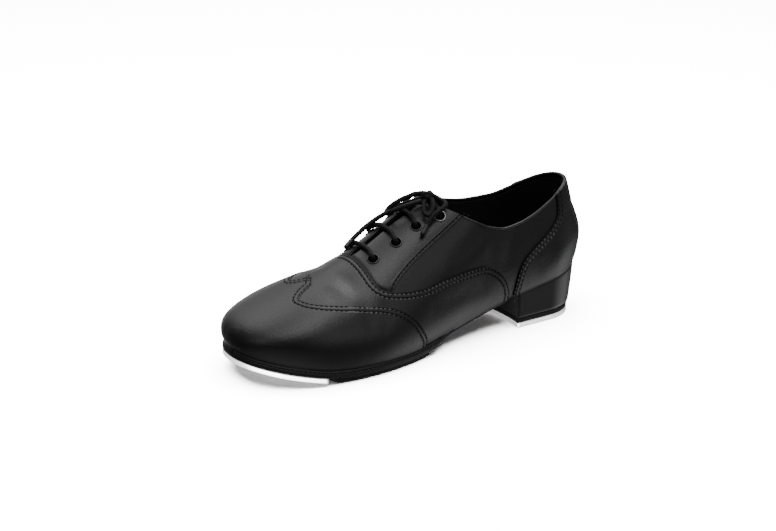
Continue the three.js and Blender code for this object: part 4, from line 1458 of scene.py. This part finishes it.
def rounded(w: Array, height: Array | float, radius: float) -> Array:
    """How far a wall draws in near its lower and upper edges.

    Args:
        w: shares up the wall.
        height: the wall's height.
        radius: radius of the edges.
    Returns:
        Shifts, which are zero or less.
    """
    inside = np.clip(1 - np.minimum(w, 1 - w) * height / radius, 0, 1)
    return -radius * (1 - np.sqrt(1 - inside ** 2))


@dataclass
class Bottom:
    """Sole, heel, pad and taps."""

    last: Last
    seat: float = 3.5
    margin: float = 1.8
    groove: float = 0.66
    groove_half: float = 0.07
    groove_depth: float = 0.55
    draw_in: float = 1.0
    thread: tuple[float, float, float] = (0.9, 0.3, 0.3)
    pitch: float = 2.6
    gap: float = 0.3
    plate: float = 3.0
    tap_from: float = 205.0
    pad_from: float = 134.0
    pad_inset: float = 2.2
    pad_gap: float = 1.0
    corner: float = 7.0
    heel_front: float = 58.3
    heel_back: float = 6.2
    heel_half: float = 25.8
    heel_flare: float = 0.8
    heel_radius: float = 27.0
    heel_round: float = 0.7
    heel_hollow: float = 2.2
    heel_plate: float = 2.8
    lift: float = 3.0
    recess: float = 2.4

    def __post_init__(self) -> None:
        """Draws the curves of the sole and of the line between pad and tap."""
        self.out = Level(SOLE["x"], SOLE["out"])
        self.thick = Level(SOLE["x"], SOLE["thick"])
        self.split = Natural(SPLIT["y"], SPLIT["x"])
        self.metal = Metal("aluminium", 0.92, 0.34, 0.7).build()
        self.taps = []

    def edge(self, side: float, x: Array, grow: Array | float = 0.0) -> Array:
        """The sole's edge on one side, moved outwards."""
        return self.last.feather_edge(side, x, self.out(x) + grow)

    def between(self, x: Array, grow: Array | float, v: Array) -> Array:
        """Second coordinate at a share from the sole's inner edge to its outer one."""
        far, near = self.edge(INNER, x, grow), self.edge(OUTER, x, grow)
        return far + (near - far) * v

    def under(self, x: Array) -> Array:
        """Top of the plates under the forepart."""
        return np.maximum(self.last.floor(x) - self.thick(x) - self.gap, self.plate)

    def sole(self) -> None:
        """Sole, with a groove near the top of its edge."""
        last = self.last
        sheet = Sheet("sole", last)
        length = last.length + self.margin

        def place(u: Array, v: Array, w: Array) -> Array:
            """From the seat to the toe, across and up; the side walls carry the groove."""
            rim = np.minimum(v, 1 - v) < 1e-6
            share = last.spread(0.0, last.length, u) / last.length
            w = eased(w)
            groove = np.exp(-((w - self.groove) / self.groove_half) ** 2) * self.groove_depth
            groove = groove + self.draw_in * np.clip((w - self.groove) / (1 - self.groove), 0, 1) ** 1.5
            thick = self.thick(self.seat + (length - self.seat) * share)
            grow = rounded(w, thick, 0.6) - np.where(rim, groove, 0.0)
            x = self.seat - grow + (length - self.seat + 2 * grow) * share
            return np.stack([x, self.between(x, grow, v), last.floor(x) - self.thick(x) * (1 - w)], -1)

        block(sheet, (220, 24, 30), place)
        edge = Polish("sole_edge", 0.005, 0.5, depth=0.08, coat=0.0).build()
        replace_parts(sheet.finish("sole", edge), "outsole")

    def welt(self) -> None:
        """Stitches in the groove round the forepart's edge."""
        last = self.last
        sheet = Sheet("stitches_sole", last)
        x = np.linspace(122, last.length + self.margin - 0.02, 3000)
        z = last.floor(x) - self.thick(x) * (1 - self.groove)
        for side in SIDES:
            line = np.stack([x, self.edge(side, x, -0.35), z], -1)
            for i in evenly(line, self.pitch):
                along = Vector(line[i + 1] - line[i]).normalized()
                out = Vector((along.y, -along.x, 0)).normalized() * -side
                stitch(sheet, line[i], (along, out, along.cross(out)), self.thread)
        sheet.finish("sole", Cloth("sole_thread", 0.002, 0.3, 0.7).build())

    def front_plate(self, name: str, back: bool) -> Sheet:
        """Toe tap, or the pad behind it."""
        last = self.last
        sheet = Sheet(name, last)
        inset = self.pad_inset if back else 0.0

        def place(u: Array, v: Array, w: Array) -> Array:
            """From back to front, across and up."""
            w = eased(w)
            draw = rounded(w, self.plate, 0.5)
            grow = draw - inset
            x = np.full(u.shape, self.tap_from)
            for _ in range(4):
                y = self.between(x, grow, v)
                corner = self.corner * np.clip((np.abs(y) - 33) / 9, 0, 1) ** 2
                x = self.tap_from + self.split(y) + (draw - self.pad_gap if back else corner - draw)
            if back:
                start = self.pad_from - draw
                x = start + (x - start) * u
            else:
                share = last.spread(self.tap_from, last.length, u) - self.tap_from
                x = x + (last.length + self.margin + grow - x) * (share / (last.length - self.tap_from))
            return np.stack([x, self.between(x, grow, v), self.under(x) - self.plate * (1 - w)], -1)

        block(sheet, (70, 40, 12), place)
        return sheet

    def ring(self, u: Array, side: float, share: Array, grow: Array | float) -> Array:
        """Plan of the heel.

        Args:
            u: shares from the back to the front corner.
            side: outer or inner side.
            share: how far the outline has widened from the floor's to the sole's.
            grow: outward shift.
        Returns:
            Pairs of coordinates.
        """
        last = self.last
        turn = np.minimum(u / self.heel_round, 1) * math.pi / 2
        past = np.clip((u - self.heel_round) / (1 - self.heel_round), 0, 1)
        low_x, high_x = ((back + radius * (1 - np.cos(turn))) * (1 - past) + self.heel_front * past
                         for back, radius in ((self.heel_back, self.heel_radius), (0.0, last.heel_round)))
        low_y = (self.heel_half - self.heel_flare * (1 - past)) * np.sin(turn) ** 0.9
        high_y = np.abs(last.feather_edge(side, high_x, 0.2) - last.curves["centre"](high_x))
        at = low_x + (high_x - low_x) * share
        y = low_y + (high_y - low_y) * share + grow * np.sin(turn)
        return np.stack([at - grow * np.cos(turn), side * y + last.curves["centre"](at) * share], -1)

    def stack(self, name: str, height: Place, share: Callable[[Array], Array], grow: float = 0.0,
              recess: float = 0.0, tall: float = 3.0, edge: float = 0.4) -> Sheet:
        """Solid of the heel's outline.

        Args:
            name: name of the piece.
            height: height of a point from its station and the share up.
            share: how far the outline has widened at a share up.
            grow: outward shift of the outline.
            recess: depth of the seat that is sunk into the top.
            tall: rough height, for the rounding of the edges.
            edge: radius of that rounding.
        Returns:
            The piece's sheet.
        """
        sheet = Sheet(name, self.last)

        def place(u: Array, v: Array, w: Array) -> Array:
            """From back to front, across and up; the front is hollow."""
            w = eased(w)
            draw = grow + rounded(w, tall, edge)
            far, near = (self.ring(u, side, share(w), draw) for side in (INNER, OUTER))
            flat = far + (near - far) * v[:, None]
            x = flat[:, 0] - self.heel_hollow * 4 * v * (1 - v) * np.clip((u - 0.5) / 0.5, 0, 1) ** 2
            inside = np.clip((2 * np.minimum(v, 1 - v) - 0.1) / 0.05, 0, 1) * np.clip((u - 0.16) / 0.05, 0, 1)
            return np.stack([x, flat[:, 1], height(x, w) - recess * inside * (w > 0.999)], -1)

        block(sheet, (64, 44, 14), place)
        return sheet

    def heel(self) -> None:
        """Covered heel block, its top lift, the taps and the pad."""
        last = self.last
        low = self.heel_plate + self.lift + 2 * self.gap
        start = self.heel_plate + self.gap
        heel = self.stack("heel_cover", lambda x, w: low + (last.floor(x) - low) * w,
                          lambda w: 0.25 + 0.75 * (w + 0.4 * w * (1 - w)), recess=self.recess, tall=24.0, edge=0.8)
        cover = Polish("heel_cover", 0.005, 0.32, speckle=0.8, depth=0.05, coat=0.3).build()
        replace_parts(heel.finish("heel", cover), "heel_block")
        lift = self.stack("top_lift_rubber", lambda x, w: start + self.lift * w, lambda w: 0.1 + 0.12 * w, grow=-0.4)
        rubber = Polish("rubber", 0.004, 0.7, speckle=0.9, depth=0.35, coat=0.0).build()
        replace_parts(lift.finish("rubber", rubber), "top_lift")
        tap = self.stack("heel_tap_plate", lambda x, w: self.heel_plate * w, lambda w: 0 * w)
        toe = self.front_plate("toe_tap_plate", back=False)
        for sheet, node in ((tap, "heel_tap"), (toe, "toe_tap")):
            self.taps.append(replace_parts(sheet.finish("tap", self.metal), node))
        pad = self.front_plate("forefoot_pad_rubber", back=True)
        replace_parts(pad.finish("rubber", rubber), "forefoot_pad")

    def build(self) -> None:
        """Makes all the parts."""
        self.sole()
        self.welt()
        self.heel()


@dataclass
class Lacing:
    """Eyelets, bars of lace across the opening, and the bow."""

    last: Last
    across: float = 3.0
    lift: float = 1.9
    tip: float = 9.0
    knot: tuple[float, float, float] = (117.0, 9.6, 93.8)
    knot_half: tuple[float, float, float] = (4.6, 4.4, 3.6)

    def __post_init__(self) -> None:
        """Finds the eyelets' places and makes the finishes."""
        self.frames = eyelet_frames(self.last)
        self.finish = Cord().build()
        self.tip_finish = Polish("lace_tip", 0.004, 0.3, coat=0.0).build()

    def ring(self, name: str, top: Array, normal: Array) -> Sheet:
        """Sheet of one eyelet."""
        sheet = Sheet(name, self.last)
        rows = np.array(RING)
        aside = unit(np.cross(normal, (1.0, 0.0, 0.0)))
        ahead = np.cross(aside, normal)

        def place(u: Array, v: Array) -> Array:
            """Round the hole, and through the profile."""
            row = rows[np.rint(v * (len(rows) - 1)).astype(int)]
            turn = u[:, None] * 2 * math.pi
            out = np.cos(turn) * aside + np.sin(turn) * ahead
            return top + out * row[:, :1] + normal * row[:, 1:]

        sheet.lay(40, len(rows) - 1, place)
        sheet.close()
        return sheet

    def eyelets(self) -> None:
        """All eyelets: dark enamel, except the uppermost pair, whose bright metal colour is a painted reflection."""
        dark = Metal("enamel", 0.07, 0.26, 0.8).build()
        # Painted reflection: the uppermost pair gets a bright metal colour in place of the dark enamel.
        bright = Metal("eyelet_painted_reflection", 0.42, 0.32).build()
        for i, pair in enumerate(self.frames, 1):
            for (top, normal), name in zip(pair, ("left", "right")):
                sheet = self.ring(f"eyelet_ring_{name}_{i}", top, normal)
                piece = sheet.finish("eyelet", bright if i == len(self.frames) else dark)
                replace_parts(piece, f"eyelet_{name}_{i}")

    def bars(self) -> None:
        """Straight bars between the eyelets, from inside their holes."""
        last = self.last
        for i, ((x, half), (outer, inner)) in enumerate(zip(EYELETS, self.frames), 1):
            def over(share: float, side: float) -> Array:
                """Point over the opening."""
                p = last.point(x, side, last.reach(Measure.HALF, x, side, -share * half))
                return p + np.array([0.0, side * 0.9 * share * self.lift, self.lift])

            def dive(middle: tuple[Array, Array], side: float) -> list[Array]:
                """Points from inside a hole up to its rim."""
                top, normal = middle
                rows = [top + normal * height for height in (-3.2, -1.2, 1.0, 2.3)]
                rows[-1] = rows[-1] - np.array([0.0, side * 0.35, 0.0])
                return rows

            points = dive(outer, OUTER) + [over(0.6, OUTER), over(0.25, OUTER)]
            points += [over(0.25, INNER), over(0.6, INNER)] + dive(inner, INNER)[::-1]
            sheet = tube(f"lace_across_{i}", last, smooth_line(np.array(points)), self.across)
            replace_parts(sheet.finish("lace", self.finish), f"lace_bar_{i}")

    def knotted(self) -> bpy.types.Object:
        """Knot: turns of cord round a core."""
        sheet = Sheet("lace_knot_turns", self.last)
        centre, half = np.array(self.knot), np.array(self.knot_half)
        radius = self.across / 2
        for shift, lean, turn in ((-1.0, 0.25, 0.0), (1.1, -0.2, 0.6)):
            a = np.linspace(0, 2 * math.pi, 40)
            x = shift + lean * (half[1] - radius) * np.cos(a)
            y = (half[1] - radius * 0.9) * np.cos(a)
            z = (half[2] - radius * 0.95) * np.sin(a)
            c, s = math.cos(turn), math.sin(turn)
            spun = np.stack([x * c - y * s, x * s + y * c, z], -1)
            add_tube(sheet, smooth_line(centre + spun), self.across)
        size = Matrix.Diagonal((*(half - radius * 0.5), 1))
        bmesh.ops.create_uvsphere(sheet.mesh, u_segments=24, v_segments=16, radius=1,
                                  matrix=Matrix.Translation(centre) @ size)
        sheet.close()
        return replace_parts(sheet.finish("lace", self.finish), "lace_knot")

    def tip_piece(self, name: str, line: Array) -> bpy.types.Object:
        """Smooth tip over the last part of an end."""
        left = np.linalg.norm(np.diff(line, axis=0), axis=1)[::-1].cumsum()[::-1]
        sheet = tube(f"lace_tip_{name}", self.last, line[:-1][left < self.tip], self.across + 0.1)
        return sheet.finish("lace", self.tip_finish)

    def bow(self) -> None:
        """Knot, loops and ends of the bow, with a tip on each end; logs each cord's length."""
        knot = self.knotted()
        loops = {}
        origin = np.array([*self.last.origin, 0.0])
        for name, rows in CORDS.items():
            line = smooth_line(np.array(rows, float))
            sheet = tube(f"lace_{name}_cord", self.last, line, self.across)
            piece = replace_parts(sheet.finish("lace", self.finish), f"lace_{name}")
            path = (line - origin) * MM
            loops[name] = piece, path, float(run_along(path)[-1])
        for name, (piece, path, length) in loops.items():
            LOG.info("%s: %.1f mm of cord", name, length / MM)
            if name == "loop_side":
                continue
            others = [knot, loops["loop_side"][0]] if name == "end_side" else []
            if name.startswith("end"):
                others.append(self.tip_piece(name, path / MM + origin))
            "object" if name == "loop_front" else "bare"

    def build(self) -> None:
        """Makes all the parts."""
        self.eyelets()
        self.bars()
        self.bow()


@dataclass
class Studio:
    """Camera at the photo's angle, soft light and a pale floor."""

    azimuth: float = math.radians(146.46)
    elevation: float = math.radians(19.24)
    distance: float = 1.25
    focal_px: float = 2000.4
    width_px: int = 776
    aside: float = -0.01228
    above: float = 0.01208
    sensor: float = 36.0
    base: float = 0.06
    target: tuple[float, float, float] = (0.126, 0.0, 0.035)

    def camera(self, last: Last) -> None:
        """Sets up the scene's camera."""
        a, e = self.azimuth, self.elevation
        back = Vector((math.sin(a) * math.cos(e), -math.cos(a) * math.cos(e), math.sin(e)))
        right = Vector((0, 0, 1)).cross(back).normalized()
        up = back.cross(right)
        origin = Vector((*last.origin, 0)) * MM
        place = Vector(self.target) - origin + right * self.aside + up * self.above + back * self.distance
        data = bpy.data.cameras.new("camera")
        data.sensor_fit = "HORIZONTAL"
        data.sensor_width = self.sensor
        data.lens = self.focal_px / self.width_px * self.sensor
        data.clip_start, data.clip_end = 0.05, 50
        camera = bpy.data.objects.new("camera", data)
        camera.location = place
        camera.rotation_mode = "QUATERNION"
        camera.rotation_quaternion = (-back).to_track_quat("-Z", "Y")
        bpy.context.scene.collection.objects.link(camera)
        bpy.context.scene.camera = camera

    def light(self, name: str, place: Vec, size: Vec, power: float, group: bpy.types.Collection,
              aim: Vec = (0, 0, 0.04)) -> None:
        """Adds a softbox that lights one group.

        Args:
            name: its name.
            place: its middle, in metres.
            size: its two sides.
            power: in watts.
            group: what it lights.
            aim: the point that it faces.
        """
        data = bpy.data.lights.new(name, "AREA")
        data.shape = "RECTANGLE"
        data.size, data.size_y = size
        data.energy = power
        lamp = bpy.data.objects.new(name, data)
        lamp.location = place
        lamp.rotation_mode = "QUATERNION"
        lamp.rotation_quaternion = (Vector(aim) - Vector(place)).to_track_quat("-Z", "Y")
        lamp.light_linking.receiver_collection = group
        bpy.context.scene.collection.objects.link(lamp)

    def groups(self, floor: bpy.types.Object) -> tuple[bpy.types.Collection, bpy.types.Collection]:
        """Groups for the lights: the floor alone, and all but the floor."""
        made = []
        for name, state in (("floor_alone", "INCLUDE"), ("all_but_floor", "EXCLUDE")):
            group = bpy.data.collections.new(name)
            group.objects.link(floor)
            group.collection_objects[0].light_linking.link_state = state
            made.append(group)
        return made[0], made[1]

    def floor(self) -> bpy.types.Object:
        """Pale floor under the shoe."""
        mesh = bmesh.new()
        bmesh.ops.create_grid(mesh, x_segments=1, y_segments=1, size=6)
        data = bpy.data.meshes.new("floor")
        mesh.to_mesh(data)
        mesh.free()
        s = Shader.named("floor")
        data.materials.append(s.surface({"Base Color": grey(0.9), "Roughness": 0.9, "Specular IOR Level": 0.1}))
        plane = bpy.data.objects.new("floor", data)
        plane.location.z = -0.0002
        plane.visible_glossy = False
        plane.visible_diffuse = False
        bpy.context.scene.collection.objects.link(plane)
        return plane

    def sky(self) -> None:
        """Dim surroundings with a few wide soft patches."""
        world = bpy.data.worlds.new("world")
        s = Shader(world)
        away = s.node("ShaderNodeTexCoord", {}, {}, "Generated")
        total = self.base
        for toward, strength, power in SKY:
            cosine = s.node("ShaderNodeVectorMath", {"operation": "DOT_PRODUCT"}, {0: away, 1: toward}, "Value")
            total = s.clamped(cosine) ** power * strength + total
        glow = s.node("ShaderNodeBackground", {}, {"Color": grey(1.0), "Strength": total})
        s.end("ShaderNodeOutputWorld", glow)
        bpy.context.scene.world = world

    def build(self, taps: Sequence[bpy.types.Object]) -> None:
        """Sets up the floor and the lights."""
        on_floor, on_shoe = self.groups(self.floor())
        self.light("floor_top", (0.0, -0.1, 1.4), (2.2, 2.2), 700, on_floor, (0, -0.1, 0))
        self.light("top", (0.0, -0.25, 1.3), (1.7, 1.7), 8, on_shoe)
        on_taps = bpy.data.collections.new("taps_alone")
        for tap in taps:
            on_taps.objects.link(tap)
        self.light("tap_card", (0.4, 1.2, 0.1), (2.4, 1.2), 160, on_taps)
        self.light("tap_end_card", (1.3, 0.35, 0.15), (1.4, 1.4), 130, on_taps)
        self.sky()


def main() -> None:
    """Builds the shoe and its surroundings."""
    logging.basicConfig(level=logging.INFO, format="%(message)s")
    last = Last()
    studio = Studio()
    studio.camera(last)
    Lacing(last).build()
    upper = Upper(last)
    upper.build()
    Stitching(upper).build()
    bottom = Bottom(last)
    bottom.build()
    studio.build(bottom.taps)


if __name__ == "__main__":
    main()
